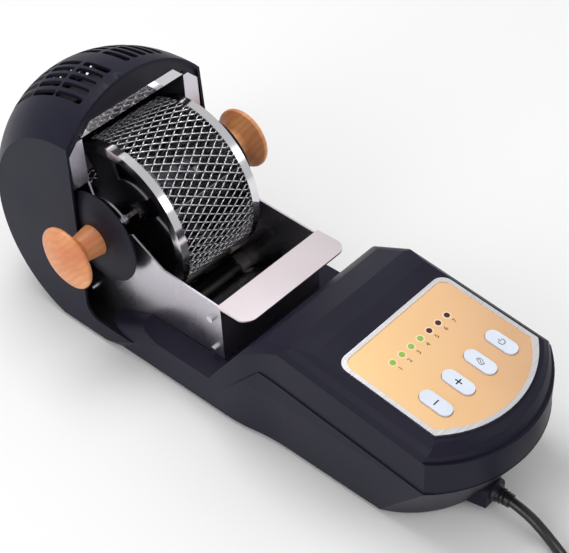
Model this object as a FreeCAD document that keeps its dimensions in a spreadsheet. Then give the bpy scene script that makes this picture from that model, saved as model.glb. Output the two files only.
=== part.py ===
import FreeCAD, Part
import math
import os

import Sketcher

# Home drum coffee roaster, in millimetres: X across, Y from the control panel to the hood, Z up.
# The origin is on the table, under the middle of the object's box.

V = FreeCAD.Vector
doc = FreeCAD.newDocument("CoffeeRoaster")
sheet = doc.addObject("Spreadsheet::Sheet", "Sizes")


class Size:
    """A length with its value and the expression that gives it from the sheet."""

    def __init__(self, value, text=None):
        self.value = float(value)
        self.text = text if text else "(%r)" % float(value)

    def joined(self, other, sign, value):
        return Size(value, "(%s %s %s)" % (self.text, sign, other.text))

    def __add__(self, other):
        other = as_size(other)
        return self.joined(other, "+", self.value + other.value)

    def __radd__(self, other):
        return as_size(other) + self

    def __sub__(self, other):
        other = as_size(other)
        return self.joined(other, "-", self.value - other.value)

    def __rsub__(self, other):
        return as_size(other) - self

    def __mul__(self, other):
        other = as_size(other)
        return self.joined(other, "*", self.value * other.value)

    def __rmul__(self, other):
        return as_size(other) * self

    def __truediv__(self, other):
        other = as_size(other)
        return self.joined(other, "/", self.value / other.value)

    def __neg__(self):
        return Size(-self.value, "(0 - %s)" % self.text)


def as_size(number):
    return number if isinstance(number, Size) else Size(number)


def root(size):
    return Size(math.sqrt(size.value), "sqrt(%s)" % size.text)


sheet_row = [0]


def size(name, value):
    """One driving dimension: a cell of the sheet with its name as alias."""
    sheet_row[0] += 1
    cell = "B%d" % sheet_row[0]
    sheet.set("A%d" % sheet_row[0], name)
    sheet.set(cell, repr(float(value)))
    sheet.setAlias(cell, name)
    return Size(value, "Sizes.%s" % name)


# Fits
gap = size("moving_gap", 0.3)
running_fit = size("running_fit", 0.08)

# Body
axle_y = size("axle_back", 85)
axle_z = size("axle_height", 85)
foot_lift = size("foot_lift", 3)
wall = size("casing_wall", 2.5)
side_wall = size("hood_side_wall", 1.8)
hood_y = size("hood_centre_back", 102.5)
hood_z = size("hood_centre_height", 70)
liner_radius = size("liner_radius", 68)
hood_loft = size("hood_loft", 40.5)
hood_radius = liner_radius + hood_loft
plate_half = size("side_plate_half_width", 45.5)
side_bay = size("side_bay_width", 20)
hood_side_low = plate_half + side_bay
hood_side_high = hood_side_low - size("hood_side_draft", 8.5)
hood_half = hood_side_low + size("hood_blank_margin", 4.5)
hood_crown = hood_half + size("hood_crown_spare", 5)
hood_draft_height = size("hood_draft_height", 180)
mouth_y = size("mouth_plane", 97.5)
tub_half = hood_side_low - size("tub_step", 1)
tub_low_half = tub_half - size("tub_floor_inset", 2)
nose_half = tub_half - size("waist_step", 3.5)
nose_low_half = tub_low_half - size("waist_low_step", 4.5)
nose_corner_y = size("nose_corner_front", 184)
nose_bow = size("nose_bow", 27)
nose_low_corner_y = size("nose_low_corner_front", 150)
nose_low_bow = size("nose_low_bow", 38)
waist_back_y = size("waist_back_front", 28)
waist_front_y = size("waist_front_front", 76)
tub_turn_z = size("tub_turn_height", 46)

# Parting line between tub and deck, seen from the side
rail_z = size("rail_height", 16)
rail_corner = size("rail_corner", 11)
rail_front_y = size("rail_front_front", 18)
part_hill_y = size("parting_hill_front", 60)
part_hill_z = size("parting_hill_height", 62)
part_nose_y = size("parting_nose_front", 190)
part_nose_z = size("parting_nose_height", 45)

# Deck, the upper casing
deck_inset = size("deck_inset", 0.8)
deck_z = size("deck_floor_height", 30)
hill_foot_y = size("hill_foot_front", 17)
hill_rise_y = size("hill_rise_front", 46)
hill_rise_z = size("hill_rise_height", 70)
hill_top_y = size("hill_top_front", 96)
hill_top_radius = size("hill_top_radius", 62)
shoulder_drop = size("shoulder_drop", 12)
shoulder_margin = size("shoulder_margin", 2.5)
shoulder_bulge = size("shoulder_bulge", 1.2)
shoulder_steps = 3
hill_tilt = size("hill_tilt", 25)
hill_bulge = size("hill_bulge", 3.4)
hill_middle_y = size("hill_middle_front", 71)
hill_middle_z = size("hill_middle_height", 87.6)

# Control panel, in its own tilted plane
panel_y = size("panel_middle_front", 154)
panel_z = size("panel_middle_height", 86.4)
panel_tilt = size("panel_tilt", 8)
panel_half = size("panel_half_width", 49)
panel_back = size("panel_back_from_middle", 44)
panel_side_front = size("panel_side_front_from_middle", 27)
panel_bow = size("panel_bow", 19)
panel_corner = size("panel_corner_radius", 8)
bezel_rim = size("bezel_rim", 2.8)
bezel_proud = size("bezel_proud", 0.6)
panel_thick = size("panel_thickness", 1.2)
light_pitch = size("light_pitch", 8.4)
light_radius = size("light_radius", 1.8)
light_row = size("light_row_from_middle", 21.5)
light_count = 7
lit_count = 4
button_pitch = size("button_pitch", 20.6)
button_row = size("button_row_from_middle", 14)
button_long = size("button_length", 22)
button_wide = size("button_width", 9.6)
button_proud = size("button_proud", 1.2)
button_travel = size("button_travel", 0.8)
button_clearance = size("button_clearance", 0.3)

# Roasting chamber
plate_thick = size("side_plate_thickness", 1.2)
plate_front_y = size("side_plate_front_front", 14)
plate_dip_y = size("side_plate_dip_back", 36)
plate_dip_z = size("side_plate_dip_height", 78)
plate_back_y = size("side_plate_back", 170)
plate_heel = size("side_plate_heel", 10)
plate_back_z = size("side_plate_back_height", 62)
plate_lean = size("side_plate_lean", 18)
plate_lean_z = size("side_plate_lean_height", 130)
plate_shoulder = size("side_plate_shoulder", 45)
boss_radius = size("bearing_boss_radius", 25)
flange_y = size("flange_plane", 99.5)
flange_half = plate_half + size("flange_width", 11)
flange_chamfer = size("flange_chamfer", 8)
flange_low_z = size("flange_low_height", 118)
flange_top_z = size("flange_top_height", 151)
liner_thick = size("liner_thickness", 0.8)
strip_high = size("top_strip_height", 8)
lip_z = size("lip_height", 76.5)
lip_reach_y = size("lip_front_front", 38.4)
lip_half = plate_half + size("lip_overhang", 1.5)
lip_corner = size("lip_corner_radius", 9)
heater_radius = size("heater_tube_radius", 3.2)
heater_angle = size("heater_angle", 21)
probe_angle = size("probe_angle", 50)

# Drum
drum_radius = size("drum_radius", 58)
mesh_radius = size("mesh_radius", 56)
mesh_thick = size("mesh_thickness", 0.9)
drum_half = plate_half - size("drum_side_gap", 10)
ring_wide = size("drum_ring_width", 6)
ring_deep = size("drum_ring_depth", 6.5)
end_thick = size("end_plate_thickness", 1)
axle_radius = size("axle_radius", 3)
axle_head = size("axle_head_radius", 5.5)
axle_head_thick = size("axle_head_thickness", 1.5)
bush_radius = size("bush_radius", 6.5)
bush_flange = size("bush_flange_radius", 8.5)
bush_flange_thick = size("bush_flange_thickness", 1.2)
hub_radius = size("hub_disc_radius", 33.5)
hub_boss = size("hub_disc_flat_radius", 15)
hub_dome = size("hub_disc_dome_height", 4)
hub_edge = size("hub_disc_edge_round", 1.5)
hub_inner = plate_half + size("hub_disc_stand_off", 6)
hub_outer = hub_inner + size("hub_disc_thickness", 6.3)
spacer_radius = size("hub_spacer_radius", 7)
lift_tilt = size("lift_direction", 35)

# Wooden knobs
knob_neck_radius = size("knob_neck_radius", 11)
knob_waist_radius = size("knob_waist_radius", 9)
knob_radius = size("knob_radius", 22.5)
knob_edge = size("knob_edge_offset", 23.2)
knob_long = size("knob_length", 30.7)


nodes = {}


def bind(obj, **sizes):
    """Bind properties to sizes; x, y and z are the placement's base."""
    places = {"x": "Placement.Base.x", "y": "Placement.Base.y", "z": "Placement.Base.z",
              "turn": "Placement.Rotation.Angle"}
    for name, value in sizes.items():
        value = as_size(value)
        obj.setExpression(places.get(name, name), value.text)
    return obj


def node(label, obj):
    """Register a finished sub-part under the name of its file."""
    obj.Label = label
    nodes[label] = obj
    return obj


def box(name, low, high):
    """A block between two corners."""
    made = doc.addObject("Part::Box", name)
    low = [as_size(value) for value in low]
    high = [as_size(value) for value in high]
    bind(made, x=low[0], y=low[1], z=low[2])
    return bind(made, Length=high[0] - low[0], Width=high[1] - low[1], Height=high[2] - low[2])


AXIS_TURN = {"X": (V(0, 1, 0), 90), "Y": (V(1, 0, 0), -90), "Z": (V(0, 0, 1), 0)}


def rod(name, axis, radius, start, end, across, up):
    """A cylinder along X, Y or Z; across and up are its place in the other two directions."""
    made = doc.addObject("Part::Cylinder", name)
    direction, angle = AXIS_TURN[axis]
    made.Placement = FreeCAD.Placement(V(0, 0, 0), FreeCAD.Rotation(direction, angle))
    start, end = as_size(start), as_size(end)
    bind(made, Radius=radius, Height=end - start)
    if axis == "X":
        return bind(made, x=start, y=across, z=up)
    if axis == "Y":
        return bind(made, x=across, y=start, z=up)
    return bind(made, x=across, y=up, z=start)


def cut(name, base, *tools):
    made = doc.addObject("Part::Cut", name)
    made.Base = base
    made.Tool = tools[0] if len(tools) == 1 else fuse(name + "Tools", *tools)
    return made


def fuse(name, *shapes):
    made = doc.addObject("Part::MultiFuse", name)
    made.Shapes = list(shapes)
    return made


def common(name, *shapes):
    made = doc.addObject("Part::MultiCommon", name)
    made.Shapes = list(shapes)
    return made


def group(name, *shapes):
    """Separate solids kept in one node."""
    made = doc.addObject("Part::Compound", name)
    made.Links = list(shapes)
    return made


PLANES = {
    "XY": FreeCAD.Rotation(V(1, 0, 0), V(0, 1, 0), V(0, 0, 1), "XYZ"),
    "YZ": FreeCAD.Rotation(V(0, 1, 0), V(0, 0, 1), V(1, 0, 0), "XYZ"),
    "XZ": FreeCAD.Rotation(V(1, 0, 0), V(0, 0, 1), V(0, -1, 0), "XYZ"),
}


def arc_edge(start, end, radius, turn):
    """The arc from start to end; turn is 1 when it runs anticlockwise and -1 when clockwise."""
    chord = end - start
    half = chord.Length / 2
    rise = math.sqrt(max(radius * radius - half * half, 0.0))
    left = V(-chord.y, chord.x, 0).normalize()
    centre = start + chord * 0.5 + left * (rise * turn)
    first, last = (start, end) if turn > 0 else (end, start)
    angles = [math.atan2(point.y - centre.y, point.x - centre.x) for point in (first, last)]
    if angles[1] < angles[0]:
        angles[1] += 2 * math.pi
    return Part.ArcOfCircle(Part.Circle(centre, V(0, 0, 1), radius), angles[0], angles[1])


def outline(name, plane, points, support=None):
    """A closed sketch. A point is (u, v), or (u, v, radius, turn) where an arc leaves it."""
    sketch = support if support else doc.addObject("Sketcher::SketchObject", name)
    if not support:
        sketch.Placement = FreeCAD.Placement(V(0, 0, 0), PLANES[plane])
    places = [(as_size(point[0]), as_size(point[1])) for point in points]
    count = len(points)
    heads, tails = [], []
    for index, point in enumerate(points):
        start = V(places[index][0].value, places[index][1].value, 0)
        following = places[(index + 1) % count]
        end = V(following[0].value, following[1].value, 0)
        if len(point) == 2:
            sketch.addGeometry(Part.LineSegment(start, end), False)
            heads.append(1)
            tails.append(2)
            continue
        radius = as_size(point[2])
        sketch.addGeometry(arc_edge(start, end, radius.value, point[3]), False)
        heads.append(1 if point[3] > 0 else 2)
        tails.append(2 if point[3] > 0 else 1)
    for index in range(count):
        after = (index + 1) % count
        sketch.addConstraint(Sketcher.Constraint("Coincident", index, tails[index], after, heads[after]))
    for index, place in enumerate(places):
        for kind, letter, distance in (("DistanceX", "u", place[0]), ("DistanceY", "v", place[1])):
            number = sketch.addConstraint(
                Sketcher.Constraint(kind, -1, 1, index, heads[index], distance.value))
            sketch.renameConstraint(number, "%s%d" % (letter, index))
            sketch.setExpression("Constraints.%s%d" % (letter, index), distance.text)
        if len(points[index]) > 2:
            radius = as_size(points[index][2])
            number = sketch.addConstraint(Sketcher.Constraint("Radius", index, radius.value))
            sketch.renameConstraint(number, "r%d" % index)
            sketch.setExpression("Constraints.r%d" % index, radius.text)
    return sketch


def prism(name, plane, points, start, end):
    """An outline pushed from start to end along its plane's normal."""
    sketch = outline(name + "Outline", plane, points)
    made = doc.addObject("Part::Extrusion", name)
    made.Base = sketch
    made.DirMode = "Normal"
    made.Solid = True
    start, end = as_size(start), as_size(end)
    if plane == "XZ":
        bind(made, LengthFwd=-start, LengthRev=end)
    else:
        bind(made, LengthFwd=end, LengthRev=-start)
    return made


def turned(name, points, across, up):
    """An outline of (along, radius) points turned about a line along X."""
    sketch = outline(name + "Outline", "XY", points)
    made = doc.addObject("Part::Revolution", name)
    made.Source = sketch
    made.Axis = V(1, 0, 0)
    made.Base = V(0, 0, 0)
    made.Angle = 360
    made.Solid = True
    return bind(made, y=across, z=up)


def moved(name, source, turn_axis=None, angle=None, x=0, y=0, z=0):
    """A copy of a shape, linked to it, turned about an axis and moved."""
    made = doc.addObject("Part::Compound", name)
    made.Links = [source]
    if turn_axis:
        made.Placement = FreeCAD.Placement(V(0, 0, 0), FreeCAD.Rotation(turn_axis, as_size(angle).value))
        bind(made, turn=angle)
    return bind(made, x=x, y=y, z=z)


def mirrored(name, source):
    """The same piece on the other side of the object's middle plane."""
    made = doc.addObject("Part::Mirroring", name)
    made.Source = source
    made.Normal = V(1, 0, 0)
    made.Base = V(0, 0, 0)
    return made


def bow_radius(half, bow):
    """The radius of an arc that bows out by bow over a chord of two halves."""
    return (half * half + bow * bow) / (bow * 2)


# Casing shapes. Each takes an inset, 0 for the outside and the wall for the inside.
def hood_barrel(name, inset):
    """A barrel turned about a line across the object, with its two sides drafted flat."""
    radius = hood_radius - inset
    crown = hood_crown - inset
    edge = radius - crown + root(crown * crown - hood_half * hood_half)
    barrel = turned(name + "Barrel", [
        (-hood_half, 0), (hood_half, 0), (hood_half, edge, crown, 1), (-hood_half, edge)],
        hood_y, hood_z)
    skin = side_wall * (1 if inset else 0)
    low, high = hood_side_low - skin, hood_side_high - skin
    reach = hood_radius + hood_radius
    sides = prism(name + "Sides", "XZ", [
        (-low, 0), (low, 0), (high, hood_draft_height), (-high, hood_draft_height)], -reach, reach)
    return common(name, barrel, sides)


def nose_plan(half, corner_y, bow, waist, back):
    """The plan of the tub: straight sides that draw in to a waist by two arcs, and a bowed nose."""
    middle, middle_y = (waist + half) / 2, (waist_back_y + waist_front_y) / 2
    sweep = bow_radius((waist_front_y - waist_back_y) / 2, (waist - half) / 2)
    return [(waist, back), (-waist, back), (-waist, -waist_back_y, sweep, 1),
            (-middle, -middle_y, sweep, -1), (-half, -waist_front_y),
            (-half, -corner_y, bow_radius(half, bow), 1), (half, -corner_y),
            (half, -waist_front_y, sweep, -1), (middle, -middle_y, sweep, 1), (waist, -waist_back_y)]


def tub_block(name, inset, drop):
    """The tub: it widens from its floor to a turn, and stands straight above that."""
    back = axle_y + wall
    low = outline(name + "Low", "XY", nose_plan(
        nose_low_half - inset, nose_low_corner_y - inset, nose_low_bow, tub_low_half - inset, back))
    high = outline(name + "High", "XY", nose_plan(
        nose_half - inset, nose_corner_y - inset, nose_bow, tub_half - inset, back))
    bind(low, z=foot_lift - drop)
    bind(high, z=tub_turn_z)
    loft = doc.addObject("Part::Loft", name + "Loft")
    loft.Sections = [low, high]
    loft.Solid = True
    loft.Ruled = True
    above = prism(name + "Above", "XY", nose_plan(
        nose_half - inset, nose_corner_y - inset, nose_bow, tub_half - inset, back),
        tub_turn_z, hood_draft_height)
    return fuse(name, loft, above)


def parting_points(front):
    """The parting line from the mouth of the hood to the nose, seen from the side."""
    return [(mouth_y, rail_z + rail_corner, rail_corner, -1), (mouth_y - rail_corner, rail_z),
            (-rail_front_y, rail_z), (-part_hill_y, part_hill_z),
            (-part_nose_y, part_nose_z), (-front, part_nose_z)]


far = size("far_beyond", 260)


def outer_shell():
    """Hood and tub in one moulding, open at the mouth, along the parting line and below."""
    outside = fuse("ShellOutside", hood_barrel("HoodOutside", 0), tub_block("TubOutside", 0, 0), cord_boss())
    inside = fuse("ShellInside", hood_barrel("HoodInside", wall), tub_block("TubInside", wall, 0.1))
    keep = prism("ShellKeep", "YZ", [(far, foot_lift), (far, far), (mouth_y, far)]
                 + parting_points(far) + [(-far, foot_lift)], -far, far)
    shell = cut("ShellBody", common("ShellBlock", outside, keep), inside)
    bore = rod("CordBore", "Y", relief_radius, -boss_front_y - 1, boss_depth - boss_front_y, exit_x, exit_z)
    return inside, cut("ShellVented", shell, vent_cutters(), bore)


# Mains lead
cord_radius = size("cord_radius", 3.25)
exit_x = size("cord_exit_across", -8)
exit_z = size("cord_exit_height", 9.5)
boss_half = size("cord_boss_half_width", 9.5)
boss_taper = size("cord_boss_taper", 4)
boss_front_y = size("cord_boss_front", 197)
boss_depth = size("cord_boss_depth", 20)
relief_radius = size("strain_relief_radius", 6)
relief_tip = size("strain_relief_tip_radius", 4.4)
relief_long = size("strain_relief_length", 21)
relief_sunk = size("strain_relief_sunk", 10)


def cord_boss():
    """The arched boss low on the nose that the mains lead comes out of, narrowest at its face."""
    sections = []
    for grown, front in ((0, boss_front_y), (boss_taper, boss_front_y - boss_depth)):
        half = boss_half + grown
        section = outline("CordBossSection", "XZ", [
            (exit_x - half, foot_lift), (exit_x + half, foot_lift),
            (exit_x + half, exit_z, half * 1.02, 1), (exit_x - half, exit_z)])
        sections.append(bind(section, y=-front))
    loft = doc.addObject("Part::Loft", "CordBoss")
    loft.Sections = sections
    loft.Solid = True
    loft.Ruled = True
    return loft


vent_wide = size("vent_width", 4.2)
vent_pitch = size("vent_pitch", 6.5)
vent_first = size("vent_first_row", 8.3)
vent_long = size("vent_length", 26)
vent_step = size("vent_column_step", 15.2)
vent_front = size("vent_front_column", 9)
vent_reach = size("vent_cut_depth", 24)


def vent_cutters():
    """Slots through the crown of the hood, in columns round it and rows across it."""
    half_long, half_wide = (vent_long - vent_wide) / 2, vent_wide / 2
    blank = prism("VentBlank", "XY", [
        (half_wide, half_long, half_wide * 1.02, 1), (-half_wide, half_long),
        (-half_wide, -half_long, half_wide * 1.02, 1), (half_wide, -half_long)],
        hood_radius - vent_reach, hood_radius + wall)
    cutters = []
    for column in range(4):
        angle = vent_front + vent_step * column
        for row in range(5):
            for side in (-1, 1):
                name = "Vent%d%d%s" % (column, row, "L" if side < 0 else "R")
                cutters.append(moved(name, blank, V(1, 0, 0), -angle,
                                     x=(vent_first + vent_pitch * row) * side, y=hood_y, z=hood_z))
    return group("VentCutters", *cutters)


def deck_points(drop):
    """The deck from the side: a low floor, a hill and the slope under the control panel."""
    under_panel = (panel_thick + drop) / cosine(panel_tilt)
    top_z = panel_z + (panel_y - hill_top_y) * panel_slope - under_panel
    nose_z = panel_z + (panel_y - far) * panel_slope - under_panel
    return [(mouth_y, deck_z - drop), (-hill_foot_y, deck_z - drop),
            (-hill_rise_y - drop, hill_rise_z, hill_top_radius, 1),
            (-hill_top_y, top_z), (-far, nose_z)]


def parting_back():
    """The parting line from the nose back to the mouth of the hood."""
    return [(-far, part_nose_z), (-part_nose_y, part_nose_z), (-part_hill_y, part_hill_z),
            (-rail_front_y, rail_z), (mouth_y - rail_corner, rail_z, rail_corner, 1),
            (mouth_y, rail_z + rail_corner)]


def panel_plan(margin, corner):
    """The control panel's outline in its own plane, grown by a margin."""
    half, back = panel_half + margin, panel_back + margin
    front = panel_side_front + margin
    return [(half - corner, back), (corner - half, back, corner, 1), (-half, back - corner),
            (-half, -front, bow_radius(half, panel_bow), 1), (half, -front),
            (half, back - corner, corner, 1)]


def nose_strip(half, corner_y, bow):
    """The plan of the nose in the panel's own plane, reaching far back."""
    return [(-half, far), (-half, panel_y - corner_y, bow_radius(half, bow), 1),
            (half, panel_y - corner_y), (half, far)]


def on_panel(name, source):
    """Put a piece made flat about the panel's middle into the panel's tilted plane."""
    return moved(name, source, V(1, 0, 0), panel_tilt, y=-panel_y, z=panel_z)


def shoulder_form(name, inset):
    """The nose above its crease: rounded shoulders that lean in from the crease to the panel."""
    low_half = nose_half - deck_inset - inset
    high_half = panel_half + shoulder_margin - inset
    low_front = nose_corner_y - deck_inset - inset
    high_front = panel_y + panel_side_front + shoulder_margin - inset
    rise = shoulder_drop - panel_thick
    slant = root(rise * rise + (low_half - high_half) * (low_half - high_half))
    sections = []
    for step in range(shoulder_steps + 1):
        share = step / shoulder_steps
        bulge = shoulder_bulge * (4 * share * (1 - share))
        half = low_half + (high_half - low_half) * share + bulge * rise / slant
        plan = nose_strip(half, low_front + (high_front - low_front) * share + bulge,
                          nose_bow + (panel_bow - nose_bow) * share)
        section = outline("%sSection%d" % (name, step), "XY", plan)
        bind(section, z=rise * share - shoulder_drop - inset + bulge * (low_half - high_half) / slant)
        sections.append(section)
    loft = doc.addObject("Part::Loft", name + "Loft")
    loft.Sections = sections
    loft.Solid = True
    loft.Ruled = True
    above = prism(name + "Above", "XY", nose_strip(high_half, high_front, panel_bow),
                  -panel_thick - inset, far)
    below = box(name + "Below", (-far, -far, -far), (far, far, -shoulder_drop - inset))
    return on_panel(name, fuse(name + "Flat", loft, above, below))


def hill_form(name, inset):
    """The hill's cross-section, with rounded shoulders along its slope."""
    low_half = tub_half - deck_inset - inset
    high_half = panel_half + shoulder_margin - inset
    chord = root(shoulder_drop * shoulder_drop + (low_half - high_half) * (low_half - high_half))
    arc = bow_radius(chord / 2, hill_bulge)
    form = prism(name + "Flat", "XZ", [
        (-low_half, -far), (low_half, -far), (low_half, -shoulder_drop - inset, arc, 1),
        (high_half, -inset), (-high_half, -inset, arc, 1), (-low_half, -shoulder_drop - inset)], -far, far)
    return moved(name, form, V(1, 0, 0), -hill_tilt, y=-hill_middle_y, z=hill_middle_z)


def deck_block(name, inset, underside):
    """The deck's solid form, outside or inside, down to its underside."""
    half = nose_half - deck_inset - inset
    wide = tub_half - deck_inset - inset
    form = prism(name + "Side", "YZ", deck_points(inset) + underside, -far, far)
    plan = prism(name + "Plan", "XY", nose_plan(
        half, nose_corner_y - deck_inset - inset, nose_bow, wide, far), 0, far)
    return common(name, form, plan, shoulder_form(name + "Shoulder", inset), hill_form(name + "Hill", inset))


def spread(count, pitch):
    """Places of a row of pieces about the middle."""
    return [pitch * (index - (count - 1) / 2) for index in range(count)]


def pill(name, length, width, start, end):
    """A block with two round ends, long in Y, centred on Z."""
    half_wide, half_long = width / 2, (length - width) / 2
    nearly = half_wide * 1.002
    return prism(name, "XY", [
        (half_wide, half_long, nearly, 1), (-half_wide, half_long),
        (-half_wide, -half_long, nearly, 1), (half_wide, -half_long)], start, end)


def button_places():
    return spread(4, button_pitch)


def light_places():
    return spread(light_count, light_pitch)


def deck_casing():
    """The upper casing with its openings for the chamber, the buttons and the lights."""
    holes = [pill("ButtonHole%d" % index, stem_long + button_clearance * 2,
                  stem_wide + button_clearance * 2, -far / 10, 0) for index in range(4)]
    placed = [moved("ButtonHolePlaced%d" % index, hole, x=button_places()[index], y=-button_row)
              for index, hole in enumerate(holes)]
    lights = [rod("LightHole%d" % index, "Z", light_radius, -far / 10, 0, place, light_row)
              for index, place in enumerate(light_places())]
    chamber = box("ChamberHole", (-plate_half - gap, -plate_front_y - gap, 0),
                  (plate_half + gap, far, far))
    shell = cut("DeckShell", deck_block("DeckOutside", 0, parting_back()),
                deck_block("DeckInside", wall, [(-far, 0), (mouth_y, 0)]))
    node("deck_casing", cut("DeckOpened", shell, chamber,
                            on_panel("DeckPanelHoles", group("DeckHoles", *placed, *lights))))


def control_panel():
    """The gilt plate in its silver rim, its lights, its buttons and the board under them."""
    rim_outside = prism("RimOutside", "XY", panel_plan(0, panel_corner), -panel_thick, bezel_proud)
    rim_inside = prism("RimInside", "XY", panel_plan(-bezel_rim, panel_corner - bezel_rim / 2),
                       -panel_thick - 1, bezel_proud + 1)
    node("panel_bezel", on_panel("PanelBezel", cut("Rim", rim_outside, rim_inside)))
    face = prism("Face", "XY", panel_plan(-bezel_rim, panel_corner - bezel_rim / 2), -panel_thick, 0)
    slots = [moved("FaceSlot%d" % index, pill("FaceSlotBlank%d" % index, button_long + button_clearance * 2,
                                              button_wide + button_clearance * 2, -far / 10, far),
                   x=place, y=-button_row) for index, place in enumerate(button_places())]
    lights = [rod("FaceLight%d" % index, "Z", light_radius, -far / 10, far, place, light_row)
              for index, place in enumerate(light_places())]
    node("panel_plate", on_panel("PanelPlate", cut("FaceHoled", face, *slots, *lights)))
    lamps = [rod("Lamp%d" % index, "Z", light_radius, -light_deep, light_proud, place, light_row)
             for index, place in enumerate(light_places())]
    node("level_lights_lit", on_panel("LitLights", group("LitRow", *lamps[:lit_count])))
    node("level_lights_dark", on_panel("DarkLights", group("DarkRow", *lamps[lit_count:])))
    for index, name in enumerate(BUTTONS):
        cap = pill("Cap%d" % index, button_long, button_wide, button_travel - panel_thick + 0.1, button_proud)
        stem = pill("Stem%d" % index, stem_long, stem_wide, -stem_deep, button_travel - panel_thick + 0.2)
        made = moved("Button%d" % index, fuse("ButtonForm%d" % index, cap, stem),
                     x=button_places()[index], y=-button_row)
        node(name, on_panel("ButtonPlaced%d" % index, made))
    board_top = stem_deep + button_travel + switch_gap + switch_high
    board = box("Board", (-board_half, -board_front, -board_top - board_thick),
                (board_half, board_back, -board_top))
    node("control_board", on_panel("ControlBoard", board))
    switches = [box("Switch%d" % index, (place - switch_half, -button_row - switch_half, -board_top),
                    (place + switch_half, -button_row + switch_half, -board_top + switch_high))
                for index, place in enumerate(button_places())]
    lamps_base = box("LampStrip", (-light_pitch * 3.5, light_row - 2, -board_top),
                     (light_pitch * 3.5, light_row + 2, -light_deep))
    node("button_switches", on_panel("ButtonSwitches", group("Switches", *switches, lamps_base)))
    posts = [rod("Post%d%d" % (across, along), "Z", post_radius, -board_top, -panel_thick - wall,
                 (board_half - post_radius * 2) * across, post_row * along + post_shift)
             for across in (-1, 1) for along in (-1, 1)]
    node("board_posts", on_panel("BoardPosts", group("Posts", *posts)))


BUTTONS = ("button_minus", "button_plus", "button_roast", "button_power")
stem_long = size("button_stem_length", 8)
stem_wide = size("button_stem_width", 4)
stem_deep = size("button_stem_depth", 7)
switch_gap = size("switch_gap", 0.3)
switch_high = size("switch_height", 4)
switch_half = size("switch_half_width", 3)
light_proud = size("light_proud", 0.3)
light_deep = size("light_depth", 6)
board_half = size("board_half_width", 44)
board_front = size("board_front", 32)
board_back = size("board_back", 38)
board_thick = size("board_thickness", 1.6)
post_radius = size("post_radius", 2.5)
post_row = size("post_row", 26)
post_shift = size("post_shift", 4)


def tangent(angle):
    return Size(math.tan(math.radians(angle.value)), "tan(%s * 1 deg)" % angle.text)


def cosine(angle):
    return Size(math.cos(math.radians(angle.value)), "cos(%s * 1 deg)" % angle.text)


def sine(angle):
    return Size(math.sin(math.radians(angle.value)), "sin(%s * 1 deg)" % angle.text)


panel_slope = tangent(panel_tilt)


def plate_outline():
    """A side plate from the side: low in front, a round boss at the bearing, tall in the hood."""
    foot = foot_lift + wall
    boss_front = boss_radius * 0.95
    boss_back = boss_radius * 0.41
    flange_front = flange_y - plate_thick
    top = lip_z - plate_thick
    return [(-plate_front_y, foot), (plate_back_y - plate_heel, foot), (plate_back_y, foot + plate_heel),
            (plate_back_y, plate_back_z), (plate_back_y - plate_lean, plate_lean_z),
            (plate_back_y - plate_shoulder, flange_top_z),
            (flange_front, flange_top_z), (flange_front, flange_low_z),
            (axle_y + boss_back, axle_z + root(boss_radius * boss_radius - boss_back * boss_back),
             boss_radius, 1),
            (axle_y - boss_front, axle_z + root(boss_radius * boss_radius - boss_front * boss_front)),
            (plate_dip_y, plate_dip_z), (plate_thick - plate_front_y, top), (-plate_front_y, top)]


def lift_path(name, half_wide, reach, length):
    """A straight slot from the axle along the way the drum lifts out, across the whole object."""
    run = box(name + "Run", (-reach, 0, -half_wide), (reach, length, half_wide))
    end = rod(name + "End", "X", half_wide, -reach, reach, 0, 0)
    return moved(name, fuse(name + "Form", run, end), V(1, 0, 0), 180 - lift_tilt, y=axle_y, z=axle_z)


def side_plates():
    """Two stainless side plates, each with a flange that faces the front at the hood's mouth."""
    inner = plate_half - plate_thick
    wall_plate = prism("PlateWall", "YZ", plate_outline(), inner, plate_half)
    flange = prism("PlateFlange", "XZ", [
        (inner, flange_low_z), (flange_half, flange_low_z), (flange_half, flange_top_z - flange_chamfer),
        (flange_half - flange_chamfer, flange_top_z), (inner, flange_top_z)],
        flange_y - plate_thick, flange_y)
    slot = lift_path("PlateSlot", bush_radius + running_fit, far, plate_back_y)
    left = cut("PlateSlotted", fuse("PlateForm", wall_plate, flange), slot)
    screws = [rod("PlateScrewHole%d" % index, "X", screw_radius, inner - 1, plate_half + 1, y, z)
              for index, (y, z) in enumerate(SCREW_PLACES)]
    node("side_plate_left", mirrored("PlateLeft", cut("PlateDrilled", left, *screws)))
    drive = [rod("IdlerHole", "X", pin_radius, inner - 1, plate_half + 1, *train_place(idler_reach)),
             rod("ShaftHole", "X", shaft_radius + gap, inner - 1, plate_half + 1, *train_place(motor_reach))]
    node("side_plate_right", cut("PlateRight", nodes["side_plate_left"].Source, *drive))


screw_radius = size("screw_radius", 1.5)
screw_head = size("screw_head_radius", 2.4)
screw_head_high = size("screw_head_height", 2.8)
screw_inset = size("front_screw_inset", 7.5)
screw_front_z = size("front_screw_height", 63)
screw_pitch = size("front_screw_pitch", 27)
screw_low_y = plate_back_y - size("low_screw_inset", 58)
screw_low_z = size("low_screw_height", 20)
screw_high_y = plate_back_y - size("high_screw_inset", 40)
screw_high_z = size("high_screw_height", 115)
screw_front_y = screw_inset - plate_front_y
SCREW_PLACES = [(screw_front_y, screw_front_z), (screw_front_y, screw_front_z - screw_pitch),
                (screw_low_y, screw_low_z), (screw_high_y, screw_high_z)]
pin_radius = size("idler_pin_radius", 3)
shaft_radius = size("motor_shaft_radius", 2.5)
tooth_module = size("gear_module", 1.5)
drum_teeth = 36
idler_teeth = 33
pinion_teeth = 12
idler_reach = tooth_module * ((drum_teeth + idler_teeth) / 2)
motor_reach = tooth_module * ((drum_teeth + idler_teeth * 2 + pinion_teeth) / 2)


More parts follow.
